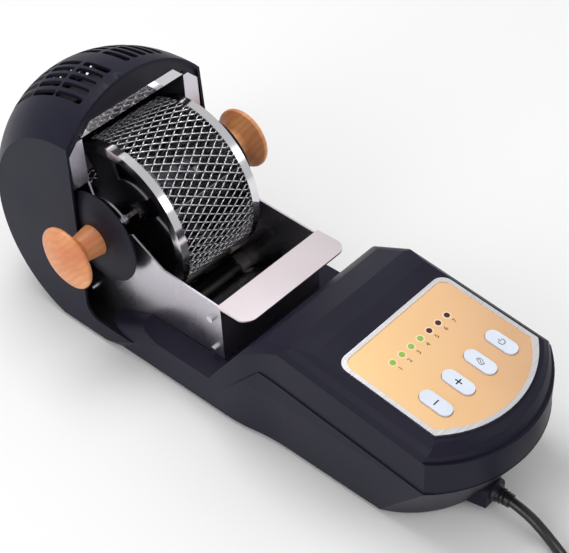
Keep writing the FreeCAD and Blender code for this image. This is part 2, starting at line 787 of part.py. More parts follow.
def train_place(reach):
    """A gear's centre in the drive train, on the line from the axle away from the lift path."""
    return axle_y + cosine(lift_tilt) * reach, axle_z - sine(lift_tilt) * reach


def screws():
    """Pan head screws that hold the side plates to the liner's frame."""
    made = []
    for side in (-1, 1):
        for index, (y, z) in enumerate(SCREW_PLACES):
            name = "Screw%s%d" % ("L" if side < 0 else "R", index)
            inner, outer = plate_half - plate_thick - 2, plate_half + screw_head_high
            shank = rod(name + "Shank", "X", screw_radius, inner, plate_half + 0.4, y, z)
            head = rod(name + "Head", "X", screw_head, plate_half, outer, y, z)
            form = fuse(name, shank, head)
            made.append(mirrored(name + "Left", form) if side < 0 else form)
    node("chamber_screws", group("ChamberScrews", *made))


def liner():
    """The curved stainless liner behind and under the drum, with its turned-up front strip."""
    inner, outer = liner_radius, liner_radius + liner_thick
    start = flange_y - 0.5
    foot = liner_foot

    def arc_top(radius):
        return axle_z + root(radius * radius - (start - axle_y) * (start - axle_y))

    def arc_low(radius):
        return axle_z - root(radius * radius - foot * foot)

    front = plate_thick - plate_front_y
    sheet_form = prism("LinerSheet", "YZ", [
        (start, arc_top(inner), inner, -1), (axle_y + inner, axle_z, inner, -1),
        (axle_y, axle_z - inner, inner, -1), (axle_y - foot, arc_low(inner)),
        (front, liner_front_z), (front, liner_front_z - liner_thick * 1.25),
        (axle_y - foot, arc_low(outer), outer, 1), (axle_y, axle_z - outer, outer, 1),
        (axle_y + outer, axle_z, outer, 1), (start, arc_top(outer))],
        plate_thick - plate_half, plate_half - plate_thick)
    low, high = arc_top(inner), arc_top(inner) + strip_high
    half = plate_half - plate_thick
    strip = prism("LinerStrip", "XZ", [
        (-half, low), (half, low), (half - strip_high, high), (strip_high - half, high)],
        flange_y - liner_thick, flange_y)
    node("chamber_liner", fuse("ChamberLiner", sheet_form, strip))


liner_foot = size("liner_foot_from_axle", 41)
liner_front_z = size("liner_front_height", 74)


def lip():
    """One bent sheet: the front wall of the chamber and the lip over the deck's hill."""
    back = plate_thick - plate_front_y
    half = plate_half - plate_thick
    wall_sheet = box("LipWall", (-half, -plate_front_y, foot_lift + wall), (half, back, lip_z))
    corner = lip_corner
    sheet_form = prism("LipSheet", "XY", [
        (lip_half, back), (-lip_half, back), (-lip_half, corner - lip_reach_y, corner, 1),
        (corner - lip_half, -lip_reach_y), (lip_half - corner, -lip_reach_y, corner, 1),
        (lip_half, corner - lip_reach_y)], lip_z - plate_thick, lip_z)
    node("lip_plate", fuse("LipPlate", wall_sheet, sheet_form))


def bulkhead():
    """The dark plate between the hood's arch and the stainless chamber."""
    arch = hood_barrel("BulkheadArch", wall)
    slab = box("BulkheadSlab", (-far, flange_y, flange_low_z), (far, flange_y + wall, far))
    half = plate_half
    top = axle_z + liner_radius + liner_thick
    mouth = box("BulkheadMouth", (-half, 0, 0), (half, far, top))
    node("hood_bulkhead", cut("HoodBulkhead", common("BulkheadBlock", arch, slab), mouth))


def under_drum(angle):
    """A place midway between drum and liner, at an angle towards the front from straight down."""
    orbit = (drum_radius + liner_radius) / 2
    return axle_y - orbit * sine(angle), axle_z - orbit * cosine(angle)


def heater():
    """Two heating tubes under the drum, with a ceramic holder at each end, and the probe."""
    half = plate_half - plate_thick
    places = [under_drum(heater_angle), under_drum(-heater_angle)]
    tubes = [rod("HeaterTube%d" % index, "X", heater_radius, holder_long / 2 - half, half - holder_long / 2,
                 y, z) for index, (y, z) in enumerate(places)]
    node("heater_tubes", group("HeaterTubes", *tubes))
    holders = []
    for index, (y, z) in enumerate(places):
        block = rod("Holder%d" % index, "X", holder_radius, half - holder_long, half, y, z)
        bore = rod("HolderBore%d" % index, "X", heater_radius, half - holder_long - 1,
                   half - holder_long / 2, y, z)
        made = cut("HolderForm%d" % index, block, bore)
        holders += [made, mirrored("HolderLeft%d" % index, made)]
    node("heater_holders", group("HeaterHolders", *holders))
    probe_at = under_drum(-probe_angle)
    node("temperature_probe", rod("TemperatureProbe", "X", probe_radius, probe_tip, half, *probe_at))


holder_long = size("heater_holder_length", 8)
holder_radius = size("heater_holder_radius", 4.2)
probe_radius = size("probe_radius", 1.6)
probe_tip = size("probe_tip", 18)


def both_sides(names, source):
    """One piece as the right-hand node and its mirror image as the left-hand one."""
    node(names[1], source)
    node(names[0], mirrored(source.Name + "Mirror", source))


def sector(name, inner, outer, first, last, start, end):
    """A window between two radii and two angles, along X."""
    points = []
    for radius, angle in ((inner, first), (outer, first), (outer, last), (inner, last)):
        points.append((radius * cosine(angle), radius * sine(angle)))
    form = prism(name + "Form", "YZ", [
        points[0], (points[1][0], points[1][1], outer, 1), points[2],
        (points[3][0], points[3][1], inner, -1)], start, end)
    return moved(name, form, y=axle_y, z=axle_z)


window_inner = size("window_inner_radius", 31)
window_outer = size("window_outer_radius", 49)
window_first = size("window_first_angle", -26)
window_last = size("window_last_angle", 58)


def drum():
    """The mesh drum between two rings and two end plates, with vanes inside."""
    inner = mesh_radius - mesh_thick
    seat = drum_half - ring_wide
    tube = cut("MeshTube",
               many_sided("MeshOutside", mesh_radius, -seat - 2, seat + 2),
               many_sided("MeshInside", inner / cosine(Size(180 / mesh_flats)), -far, far))
    node("drum_mesh", cut("DrumMesh", tube, mesh_cutters()))
    ring = cut("RingForm", rod("RingOutside", "X", drum_radius, seat, drum_half, axle_y, axle_z),
               rod("RingInside", "X", drum_radius - ring_deep, seat - 1, drum_half + 1, axle_y, axle_z),
               cut("RingGroove", rod("GrooveOutside", "X", mesh_radius, seat - 1, seat + 2, axle_y, axle_z),
                   rod("GrooveInside", "X", inner, seat - 2, seat + 3, axle_y, axle_z)))
    both_sides(("drum_ring_left", "drum_ring_right"), ring)
    face = end_inner
    disc = rod("EndDisc", "X", drum_radius - ring_deep, face, face + end_thick, axle_y, axle_z)
    bore = rod("EndBore", "X", axle_radius, face - 1, face + 2, axle_y, axle_z)
    node("drum_end_right", cut("DrumEndRight", disc, bore))
    window = sector("EndWindow", window_inner, window_outer, window_first, window_last, -far, 0)
    left = mirrored("DrumEndBlank", nodes["drum_end_right"])
    node("drum_end_left", cut("DrumEndLeft", left, window))
    seat_face = -face - end_thick - gap / 2
    shutter = cut("ShutterDisc",
                  rod("ShutterBlank", "X", drum_radius - ring_deep - gap,
                      seat_face - shutter_thick, seat_face, axle_y, axle_z),
                  rod("ShutterBore", "X", axle_radius + running_fit, -far, 0, axle_y, axle_z))
    node("drum_shutter", cut("DrumShutter", shutter,
                             sector("ShutterWindow", window_inner, window_outer, window_first,
                                    window_last, -far, 0)))
    vanes = []
    for index in range(3):
        blank = box("Vane%d" % index, (-face, vane_inner, -vane_thick / 2),
                    (face, drum_radius - ring_deep - gap, vane_thick / 2))
        vanes.append(moved("VanePlaced%d" % index, blank, V(1, 0, 0), 30 + 120 * index, y=axle_y, z=axle_z))
    node("drum_vanes", group("DrumVanes", *vanes))


end_inner = drum_half - size("end_plate_inset", 3.5)
shutter_thick = size("shutter_thickness", 0.8)
vane_inner = size("vane_inner_radius", 41)
vane_thick = size("vane_thickness", 1)
mesh_around = 35
mesh_flats = mesh_around * 2
mesh_across = 3
mesh_strut = size("mesh_strut", 1.35)


def many_sided(name, radius, start, end):
    """A block with flats about the axle, one for each half diamond round the drum."""
    base = doc.addObject("Part::RegularPolygon", name + "Base")
    base.Polygon = mesh_flats
    base.Placement = FreeCAD.Placement(V(0, 0, 0), PLANES["YZ"])
    bind(base, Circumradius=radius, y=axle_y, z=axle_z)
    made = doc.addObject("Part::Extrusion", name)
    made.Base = base
    made.DirMode = "Normal"
    made.Solid = True
    return bind(made, LengthFwd=end, LengthRev=-as_size(start))


def mesh_cutters():
    """Diamond holes through the drum's sheet, in staggered rows."""
    pitch = (drum_half - ring_wide) * 2 / (mesh_across + 0.5)
    around = mesh_radius * (2 * math.pi / mesh_around)
    long, short = pitch / 2 - mesh_strut, around / 2 - mesh_strut * (around / pitch)
    blank = prism("DiamondBlank", "XY", [(long, 0), (0, short), (-long, 0), (0, -short)],
                  mesh_radius - mesh_thick * 4, mesh_radius + mesh_thick * 4)
    cutters = []
    step = 360 / mesh_around
    for row in range(mesh_across * 2):
        across = pitch * ((row - (mesh_across * 2 - 1) / 2) / 2)
        for index in range(mesh_around):
            angle = step * (index + (row % 2) / 2)
            cutters.append(moved("Diamond%d_%d" % (row, index), blank, V(1, 0, 0), angle,
                                 x=across, y=axle_y, z=axle_z))
    return group("MeshCutters", *cutters)


def bearings():
    """Stub axles, their flanged bushes in the slots, hub discs and wooden knobs."""
    face = end_inner
    collar_start = face + end_thick + gap + shutter_thick
    axle = fuse("AxleForm",
                rod("AxleRod", "X", axle_radius, face, hub_outer, axle_y, axle_z),
                rod("AxleHead", "X", axle_head, face - axle_head_thick, face, axle_y, axle_z),
                rod("AxleCollar", "X", axle_head, collar_start, collar_start + axle_head_thick,
                    axle_y, axle_z))
    both_sides(("axle_left", "axle_right"), axle)
    inner_face = plate_half - plate_thick - gap
    outer_face = plate_half + gap
    bush = cut("BushForm", fuse("BushBlank",
                                rod("BushBody", "X", bush_radius, inner_face - 1, outer_face + 1,
                                    axle_y, axle_z),
                                rod("BushInner", "X", bush_flange, inner_face - bush_flange_thick, inner_face,
                                    axle_y, axle_z),
                                rod("BushOuter", "X", bush_flange, outer_face, outer_face + bush_flange_thick,
                                    axle_y, axle_z)),
               rod("BushBore", "X", axle_radius + running_fit, 0, far, axle_y, axle_z))
    both_sides(("bush_left", "bush_right"), bush)
    disc = turned("HubDiscForm", [
        (hub_inner, axle_radius), (hub_outer, axle_radius),
        (hub_outer, hub_boss, bow_radius(hub_radius - hub_boss, hub_dome), 1),
        (hub_outer - hub_dome, hub_radius), (hub_inner + hub_edge, hub_radius),
        (hub_inner, hub_radius - hub_edge)], axle_y, axle_z)
    node("hub_disc_right", disc)
    spacer = cut("HubSpacerForm",
                 rod("HubSpacerRod", "X", spacer_radius, outer_face + bush_flange_thick + gap, hub_inner,
                     axle_y, axle_z),
                 rod("HubSpacerBore", "X", axle_radius, 0, far, axle_y, axle_z))
    node("hub_disc_left", mirrored("HubDiscLeft", fuse("HubDiscSpaced", disc, spacer)))


def knob():
    """A turned beech knob: a neck on the hub disc and a mushroom head."""
    body = doc.addObject("PartDesign::Body", "KnobBody")
    sketch = body.newObject("Sketcher::SketchObject", "KnobProfile")
    plane = [item for item in body.Origin.OriginFeatures if item.Role == "XY_Plane"][0]
    sketch.AttachmentSupport = (plane, "")
    sketch.MapMode = "FlatFace"
    head = knob_edge - knob_under
    outline("KnobProfile", "XY", [
        (0, 0), (knob_long, 0, knob_dome, 1), (knob_edge + knob_rim, knob_radius - 0.6, knob_rim_round, 1),
        (knob_edge - knob_rim, knob_radius - 0.8), (head, knob_waist_radius + knob_throat, knob_hollow, -1),
        (head - knob_throat, knob_waist_radius), (0, knob_neck_radius)], sketch)
    doc.recompute()
    revolved = body.newObject("PartDesign::Revolution", "KnobTurned")
    revolved.Profile = sketch
    revolved.ReferenceAxis = (sketch, ["H_Axis"])
    revolved.Angle = 360
    body.Tip = revolved
    right = moved("KnobPlaced", body, x=hub_outer, y=axle_y, z=axle_z)
    both_sides(("knob_left", "knob_right"), right)


knob_under = size("knob_head_underside", 6.5)
knob_dome = size("knob_dome_radius", 39)
knob_rim = size("knob_rim_half_width", 1.5)
knob_rim_round = size("knob_rim_radius", 2.4)
knob_throat = size("knob_throat", 3.5)
knob_hollow = size("knob_throat_radius", 6)


def gear_shape(teeth, bore, start, end, place, phase):
    """A spur gear along X with straight-flanked teeth and some backlash."""
    module = tooth_module.value
    pitch_radius = module * teeth / 2
    tip, rootr = pitch_radius + module * 0.85, pitch_radius - module * 1.2
    step = 2 * math.pi / teeth
    corners = []
    for index in range(teeth):
        middle = phase + step * index
        for radius, share in ((rootr, -0.36), (tip, -0.13), (tip, 0.13), (rootr, 0.36)):
            angle = middle + step * share
            corners.append(V(start.value, place[0].value + radius * math.cos(angle),
                             place[1].value + radius * math.sin(angle)))
    corners.append(corners[0])
    length = end.value - start.value
    blank = Part.Face(Part.Wire(Part.makePolygon(corners))).extrude(V(length, 0, 0))
    hole = Part.makeCylinder(bore.value, length, V(start.value, place[0].value, place[1].value), V(1, 0, 0))
    return blank.cut(hole)


def drive():
    """The gear train on the right: drum gear, idler on its pin, and the motor's pinion."""
    start = plate_half + bush_flange_thick + gap * 3
    end = hub_inner
    toward = -math.radians(lift_tilt.value)
    centre = (axle_y, axle_z)
    gear = doc.addObject("Part::Feature", "DrumGear")
    gear.Shape = gear_shape(drum_teeth, axle_radius, start, end, centre, toward)
    node("drum_gear", gear)
    idler_at = train_place(idler_reach)
    step = 2 * math.pi / idler_teeth
    idler = doc.addObject("Part::Feature", "IdlerGear")
    idler.Shape = gear_shape(idler_teeth, pin_radius + running_fit, start, end, idler_at,
                             toward + math.pi + step / 2)
    node("idler_gear", idler)
    pin = fuse("IdlerPinForm",
               rod("IdlerPinRod", "X", pin_radius, plate_half - plate_thick, end + gap + 1.5, *idler_at),
               rod("IdlerPinHead", "X", pin_radius * 1.7, end + gap, end + gap + 1.5, *idler_at),
               rod("IdlerPinFoot", "X", pin_radius * 1.7, plate_half, start - gap, *idler_at))
    node("idler_pin", pin)
    motor_at = train_place(motor_reach)
    far_phase = toward + (0 if idler_teeth % 2 == 0 else step / 2)
    pinion_step = 2 * math.pi / pinion_teeth
    idler_phase = toward + math.pi + step / 2
    teeth_to_motor = (toward - idler_phase) / step
    offset = (teeth_to_motor - math.floor(teeth_to_motor)) * pinion_step
    pinion = doc.addObject("Part::Feature", "MotorPinion")
    pinion.Shape = gear_shape(pinion_teeth, shaft_radius, start, end, motor_at,
                              toward + math.pi + pinion_step / 2 + offset)
    node("motor_pinion", pinion)
    face = plate_half - plate_thick
    node("motor_shaft", rod("MotorShaft", "X", shaft_radius, face - shaft_sunk, end + 1, *motor_at))
    can = fuse("MotorCan",
               rod("MotorGearbox", "X", motor_radius, face - gearbox_long, face, *motor_at),
               rod("MotorBody", "X", motor_radius - 2, face - motor_long, face - gearbox_long, *motor_at))
    bore = rod("MotorBore", "X", shaft_radius + running_fit, face - shaft_sunk - gap, face + 1, *motor_at)
    node("gear_motor", cut("GearMotor", can, bore))


motor_radius = size("motor_radius", 16)
motor_long = size("motor_length", 42)
gearbox_long = size("gearbox_length", 18)
shaft_sunk = size("motor_shaft_sunk", 12)
fan_half = size("fan_half_width", 30)
fan_front_y = plate_back_y - size("fan_from_plate_back", 10)
fan_deep = size("fan_depth", 15)
fan_z = size("fan_height", 98)
fan_bore = size("fan_bore_radius", 28)
fan_hub = size("fan_hub_radius", 11)
fan_blade = size("fan_blade_radius", 27)
fan_blades = 7
fan_plate_drop = size("fan_plate_drop", 42)
fan_plate_rise = size("fan_plate_rise", 20)


def fan():
    """The axial fan behind the liner, on a cross plate between the side plates."""
    back = fan_front_y + fan_deep
    half = plate_half - plate_thick
    plate = box("FanPlate", (-half, fan_front_y - plate_thick, fan_z - fan_plate_drop),
                (half, fan_front_y, fan_z + fan_plate_rise))
    node("fan_plate", cut("FanPlateHoled", plate,
                          rod("FanPlateHole", "Y", fan_bore, 0, far, 0, fan_z)))
    frame = box("FanFrameBlock", (-fan_half, fan_front_y, fan_z - fan_half),
                (fan_half, back, fan_z + fan_half))
    hollow = cut("FanFrameHollow", frame, rod("FanFrameBore", "Y", fan_bore, 0, far, 0, fan_z))
    spokes = [box("FanSpokeAcross", (-fan_half, back - 2, fan_z - 1.5), (fan_half, back, fan_z + 1.5)),
              box("FanSpokeUp", (-1.5, back - 2, fan_z - fan_half), (1.5, back, fan_z + fan_half)),
              rod("FanSpokeHub", "Y", fan_hub, back - 3, back, 0, fan_z),
              rod("FanSpindle", "Y", 1.5, back - 9, back, 0, fan_z)]
    node("fan_frame", fuse("FanFrame", hollow, *spokes))
    hub = cut("FanHub", rod("FanHubRod", "Y", fan_hub, fan_front_y + 2, back - 3 - gap, 0, fan_z),
              rod("FanHubBore", "Y", 1.5 + running_fit, back - 9 - gap, back, 0, fan_z))
    blades = []
    for index in range(fan_blades):
        blade = box("Blade%d" % index, (fan_hub - 0.5, -4, -0.6), (fan_blade, 4, 0.6))
        leaned = moved("BladeLeaned%d" % index, blade, V(1, 0, 0), 40)
        blades.append(moved("BladePlaced%d" % index, leaned, V(0, 1, 0), 360 / fan_blades * index,
                            y=fan_front_y + fan_deep / 2 - 0.5, z=fan_z))
    node("fan_impeller", fuse("FanImpeller", hub, *blades))


def base_pieces(inside):
    """The bottom cover inside the shell's foot, its rubber feet, and the mains parts on it."""
    slab = box("CoverSlab", (-far, -far, foot_lift), (far, far, foot_lift + wall))
    node("bottom_cover", common("BottomCover", inside, slab))
    feet = [rod("Foot%d%d" % (side, end), "Z", foot_radius, 0, foot_lift, foot_half * side,
                foot_front if end < 0 else foot_back) for side in (-1, 1) for end in (-1, 1)]
    node("rubber_feet", group("RubberFeet", *feet))
    floor = foot_lift + wall
    module = box("Module", (-module_half, -module_front, floor),
                 (module_half, -module_back, floor + module_high))
    fins = [box("Fin%d" % index, (place - 1.2, -module_front, floor + module_high),
                (place + 1.2, -module_back, floor + module_high + fin_high))
            for index, place in enumerate(spread(7, 7))]
    node("power_module", fuse("PowerModule", module, *fins))


foot_radius = size("foot_radius", 8)
foot_half = size("foot_half_spacing", 44)
foot_front = size("foot_front_row", -120)
foot_back = size("foot_back_row", 135)
module_half = size("power_module_half_width", 25)
module_front = size("power_module_front", 120)
module_back = size("power_module_back", 80)
module_high = size("power_module_height", 12)
fin_high = size("fin_height", 9)


def strain_relief():
    """A ribbed, tapered sleeve, half sunk in the boss, and the clamp on its inner end."""
    sunk, out = relief_sunk, relief_long
    points = [(0, cord_radius), (out, cord_radius), (out, relief_tip), (out - 2, relief_tip)]
    slope = (relief_radius - relief_tip) / (out - sunk)
    for rib in range(3):
        start = out - 2 - rib * rib_pitch
        ridge = relief_radius - (start - sunk) * slope
        points += [(start, ridge - rib_deep), (start - rib_pitch / 2, ridge - rib_deep),
                   (start - rib_pitch / 2, ridge)]
    points += [(sunk, relief_radius), (0, relief_radius)]
    form = turned("ReliefForm", points, 0, 0)
    node("strain_relief", moved("StrainRelief", form, V(0, 0, 1), -90,
                                x=exit_x, y=relief_sunk - boss_front_y, z=exit_z))


rib_pitch = size("relief_rib_pitch", 2.6)
rib_deep = size("relief_rib_depth", 0.7)
coil_x = size("coil_centre_across", 12)
coil_y = size("coil_centre_front", 297)
coil_inner = size("coil_inner_radius", 27.7)
coil_step = size("coil_turn_step", 7.25)
floor_rest = size("cord_rest_height", 3.3)
coil_entry = 160
coil_turns = 4
coil_entry_reach = 4.56
lead_in = size("cord_straight_start", 6.5)
lead_out = size("cord_straight_end", 20.5)
CORD_ROUTE = [(-8, -208, 9.5), (-8.6, -220, 8.5), (-11.2, -233, 5.6), (-15.8, -247, 3.5)]
LAST_RUN = 15
SIDES = 8


def tube(edges, start, heading):
    """An eight-sided tube along joined edges."""
    rise = V(0, 0, 1)
    side = heading.cross(rise)
    side.normalize()
    rise = side.cross(heading)
    corners = []
    for index in range(SIDES + 1):
        angle = 2 * math.pi * (index + 0.5) / SIDES
        corners.append(start + side * (cord_radius.value * math.cos(angle))
                       + rise * (cord_radius.value * math.sin(angle)))
    return Part.Wire(edges).makePipeShell([Part.makePolygon(corners)], True, False)


def arc_between(start, corner, end):
    """The arc from start to end whose two tangents meet at the corner."""
    half = (end - start) * 0.5
    middle = start + half
    tilt = math.acos(min(1.0, half.Length / (corner - start).Length))
    if tilt < 1e-4:
        return Part.LineSegment(start, end).toShape()
    crown = middle + (corner - middle) * (math.tan(tilt / 2) / math.tan(tilt))
    return Part.Arc(start, crown, end).toShape()


def biarc(start, first, end, last):
    """Two arcs that join two places with their headings."""
    across = end - start
    both = first + last
    bend = 2 * (1 - first.dot(last))
    pull = 2 * across.dot(both)
    reach = across.dot(across) / pull
    if bend > 1e-9:
        reach = (math.sqrt(pull * pull + 4 * bend * across.dot(across)) - pull) / (2 * bend)
    near, beyond = start + first * reach, end - last * reach
    middle = (near + beyond) * 0.5
    return [arc_between(start, near, middle), arc_between(middle, beyond, end)]


class Coil:
    """A spiral wound in on the table and out again on top, in two layers."""

    def __init__(self):
        self.rate = coil_step.value / (2 * math.pi)
        lean = math.atan2(self.rate, coil_inner.value + self.rate * math.pi * coil_entry_reach)
        self.first = math.radians(coil_entry) - lean
        self.total = 2 * math.pi * (coil_turns + 1) - self.first + lean
        self.centre = V(coil_x.value, -coil_y.value, 0)

    def place(self, turned_by):
        """Where the cord's middle is, and its heading, after turning by an angle."""
        inward = turned_by - self.total / 2
        quarter = math.pi / 2
        steady = abs(inward) >= quarter
        spread_out = abs(inward) if steady else inward * inward / math.pi + math.pi / 4
        growth = math.copysign(1, inward) if steady else 2 * inward / math.pi
        radius = coil_inner.value + self.rate * spread_out
        climb = math.copysign(1, inward) if steady else math.sin(inward)
        rise = 0 if steady else math.cos(inward) / 2
        angle = self.first + turned_by
        out = V(math.cos(angle), math.sin(angle), 0)
        along = V(-math.sin(angle), math.cos(angle), 0)
        height = floor_rest.value + coil_step.value * (climb + 1) / 2
        heading = out * (self.rate * growth) + along * radius + V(0, 0, coil_step.value * rise)
        heading.normalize()
        return self.centre + out * radius + V(0, 0, height), heading


def cord():
    """The lead: a free stretch from the strain relief and a put-away coil with its plug."""
    coil = Coil()
    begin, heading = coil.place(0)
    straight = lead_in.value
    joint = begin - heading * straight
    points = [V(*point) for point in CORD_ROUTE] + [joint - heading * LAST_RUN, joint]
    edges, radii = [], []
    at = points[0]
    for index in range(1, len(points) - 1):
        before, here, after = points[index - 1:index + 2]
        come, leave = (before - here), (after - here)
        shorter = min(come.Length, leave.Length)
        turn = math.pi - come.getAngle(leave)
        come.normalize()
        leave.normalize()
        cut_off = 0.45 * shorter
        radii.append(cut_off / math.tan(turn / 2))
        edges.append(Part.LineSegment(at, here + come * cut_off).toShape())
        edges.append(arc_between(here + come * cut_off, here, here + leave * cut_off))
        at = here + leave * cut_off
    edges.append(Part.LineSegment(at, points[-1]).toShape())
    print("radii of the free stretch:", [round(radius) for radius in radii])
    print("route:", [tuple(round(value, 2) for value in point) for point in points])
    free = doc.addObject("Part::Feature", "PowerCord")
    free.Shape = tube(edges, points[0], (points[1] - points[0]).normalize())
    node("power_cord", free)
    free_long = sum(edge.Length for edge in edges)
    spans = int(math.ceil(coil.total / (math.pi / 2)))
    places = [coil.place(coil.total * index / spans) for index in range(spans + 1)]
    edges = [Part.LineSegment(joint, begin).toShape()]
    for (start, first), (end, last) in zip(places, places[1:]):
        edges += biarc(start, first, end, last)
    end, last = places[-1]
    seat = end + last * lead_out.value
    edges.append(Part.LineSegment(end, seat).toShape())
    wound = doc.addObject("Part::Feature", "CordCoil")
    wound.Shape = tube(edges, joint, heading)
    node("cord_coil", wound)
    print("lead length:", round(free_long + sum(edge.Length for edge in edges)),
          "gap in coil:", round(coil_gap(edges), 2))
    plug(seat)


def coil_gap(edges):
    """The least distance between turns, less the cord's thickness, measured on points."""
    points, along, total = [], [], 0.0
    for edge in edges:
        steps = max(2, int(edge.Length / 2))
        for index in range(steps):
            points.append(edge.valueAt(edge.FirstParameter
                                       + (edge.LastParameter - edge.FirstParameter) * index / steps))
            along.append(total + edge.Length * index / steps)
        total += edge.Length
    least = far.value
    for index, point in enumerate(points):
        for other in range(index + 1, len(points)):
            if along[other] - along[index] > math.pi * coil_inner.value / 2:
                least = min(least, (point - points[other]).Length)
    return least - 2 * cord_radius.value


plug_long = size("plug_length", 34)
plug_half = size("plug_half_width", 12)
plug_neck = size("plug_neck_half_width", 5)
blade_long = size("plug_blade_length", 17)
blade_wide = size("plug_blade_width", 6.3)
blade_thick = size("plug_blade_thickness", 1.5)
blade_pitch = size("plug_blade_pitch", 12.7)


def plug(seat):
    """A moulded two-blade plug that lies on the table beside the coil."""
    half_high = floor_rest + coil_step
    plan = prism("PlugPlan", "XY", [
        (plug_neck, 0), (plug_neck, 6), (plug_half, 15), (plug_half, plug_long), (-plug_half, plug_long),
        (-plug_half, 15), (-plug_neck, 6), (-plug_neck, 0)], -half_high, half_high)
    profile = prism("PlugSide", "YZ", [
        (0, -plug_neck), (6, -plug_neck), (12, -half_high), (plug_long - 2, -half_high),
        (plug_long, 2 - half_high), (plug_long, half_high - 2), (plug_long - 2, half_high),
        (12, half_high), (6, plug_neck), (0, plug_neck)], -plug_half - 1, plug_half + 1)
    body = moved("PlugPlaced", common("PlugForm", plan, profile), x=seat.x, y=seat.y, z=seat.z)
    node("power_plug", body)
    blades = [box("PlugBlade%d" % index, (place - blade_thick / 2, plug_long, -blade_wide / 2),
                  (place + blade_thick / 2, plug_long + blade_long, blade_wide / 2))
              for index, place in enumerate(spread(2, blade_pitch))]
    node("plug_blades", moved("PlugBlades", group("PlugBladePair", *blades), x=seat.x, y=seat.y, z=seat.z))


doc.recompute()
cavity, shell = outer_shell()
node("outer_shell", shell)
deck_casing()
control_panel()
base_pieces(cavity)
side_plates()
screws()
liner()
lip()
bulkhead()
heater()
drum()
bearings()
knob()
drive()
fan()
strain_relief()
cord()

doc.recompute()
os.makedirs("parts", exist_ok=True)
failed = [made.Name for made in doc.Objects if "Invalid" in made.State or "Error" in made.State]
if failed:
    raise SystemExit("failed: %s" % ", ".join(failed))
for label, obj in nodes.items():
    shape = obj.Shape
    if shape.isNull() or not shape.isValid() or not shape.Solids:
        raise SystemExit("%s has no sound shape" % label)
    shape.exportStep("parts/%s.step" % label)
    print(label, len(shape.Solids), round(shape.Volume))
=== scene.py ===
import math

import bmesh
import bpy
from mathutils import Matrix, Vector


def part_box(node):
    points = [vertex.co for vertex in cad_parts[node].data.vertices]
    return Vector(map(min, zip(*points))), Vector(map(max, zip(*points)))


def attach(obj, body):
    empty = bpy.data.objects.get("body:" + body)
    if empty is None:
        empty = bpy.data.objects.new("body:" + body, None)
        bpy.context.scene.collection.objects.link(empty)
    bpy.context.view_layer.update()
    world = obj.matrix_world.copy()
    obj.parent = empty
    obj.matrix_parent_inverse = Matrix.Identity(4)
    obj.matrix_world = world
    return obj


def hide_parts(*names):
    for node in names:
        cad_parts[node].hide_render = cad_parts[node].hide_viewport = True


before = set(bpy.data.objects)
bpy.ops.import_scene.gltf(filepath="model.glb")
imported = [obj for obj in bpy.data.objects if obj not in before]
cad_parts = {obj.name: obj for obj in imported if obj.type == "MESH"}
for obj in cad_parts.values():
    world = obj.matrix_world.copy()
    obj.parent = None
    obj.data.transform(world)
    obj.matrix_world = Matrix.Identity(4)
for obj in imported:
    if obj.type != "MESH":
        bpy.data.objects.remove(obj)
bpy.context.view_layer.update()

# Home drum coffee roaster: finishes, wire drum, printed marks and mains lead, in metres.

MM = 0.001


# Camera, solved from the drum's rings, the side plates and the panel
VIEW_AZIMUTH = math.radians(-44.3)
VIEW_ELEVATION = math.radians(42.0)
VIEW_ROLL = math.radians(-4.3)
CAMERA_PLACE = Vector((-0.4592, -0.4752, 0.6585))
PHOTO_WIDTH, PHOTO_HEIGHT = 569, 553
FOCAL_PIXELS = 1389.1
AXIS_PIXEL = (259.8, 273.6)
SENSOR = 36.0


def add_camera():
    """The photograph's view, with the frame shifted by where its optical axis lies."""
    data = bpy.data.cameras.new("view_camera")
    data.sensor_width = SENSOR
    data.lens = SENSOR * FOCAL_PIXELS / PHOTO_WIDTH
    data.shift_x = (PHOTO_WIDTH / 2 - AXIS_PIXEL[0]) / PHOTO_WIDTH
    data.shift_y = (AXIS_PIXEL[1] - PHOTO_HEIGHT / 2) / PHOTO_WIDTH
    forward = Vector((-math.sin(VIEW_AZIMUTH) * math.cos(VIEW_ELEVATION),
                      math.cos(VIEW_AZIMUTH) * math.cos(VIEW_ELEVATION),
                      -math.sin(VIEW_ELEVATION)))
    level = Vector((math.cos(VIEW_AZIMUTH), math.sin(VIEW_AZIMUTH), 0))
    raised = level.cross(forward)
    right = level * math.cos(VIEW_ROLL) + raised * math.sin(VIEW_ROLL)
    up = raised * math.cos(VIEW_ROLL) - level * math.sin(VIEW_ROLL)
    turn = Matrix((right, up, -forward)).transposed().to_4x4()
    camera = bpy.data.objects.new("view_camera", data)
    camera.matrix_world = Matrix.Translation(CAMERA_PLACE) @ turn
    bpy.context.scene.collection.objects.link(camera)
    bpy.context.scene.camera = camera


# Mesh helpers
def link(obj):
    """Put a new object into the scene."""
    bpy.context.scene.collection.objects.link(obj)
    return obj


def bridge(made, ring, following):
    """Join two rings of corners with a band of faces."""
    count = len(ring)
    for index in range(count):
        after = (index + 1) % count
        made.faces.new((ring[index], ring[after], following[after], following[index]))


def smooth_piece(name, made):
    """An object from a finished bmesh, its faces turned outward and shaded smooth."""
    bmesh.ops.recalc_face_normals(made, faces=made.faces)
    data = bpy.data.meshes.new(name)
    made.to_mesh(data)
    made.free()
    for polygon in data.polygons:
        polygon.use_smooth = True
    return link(bpy.data.objects.new(name, data))


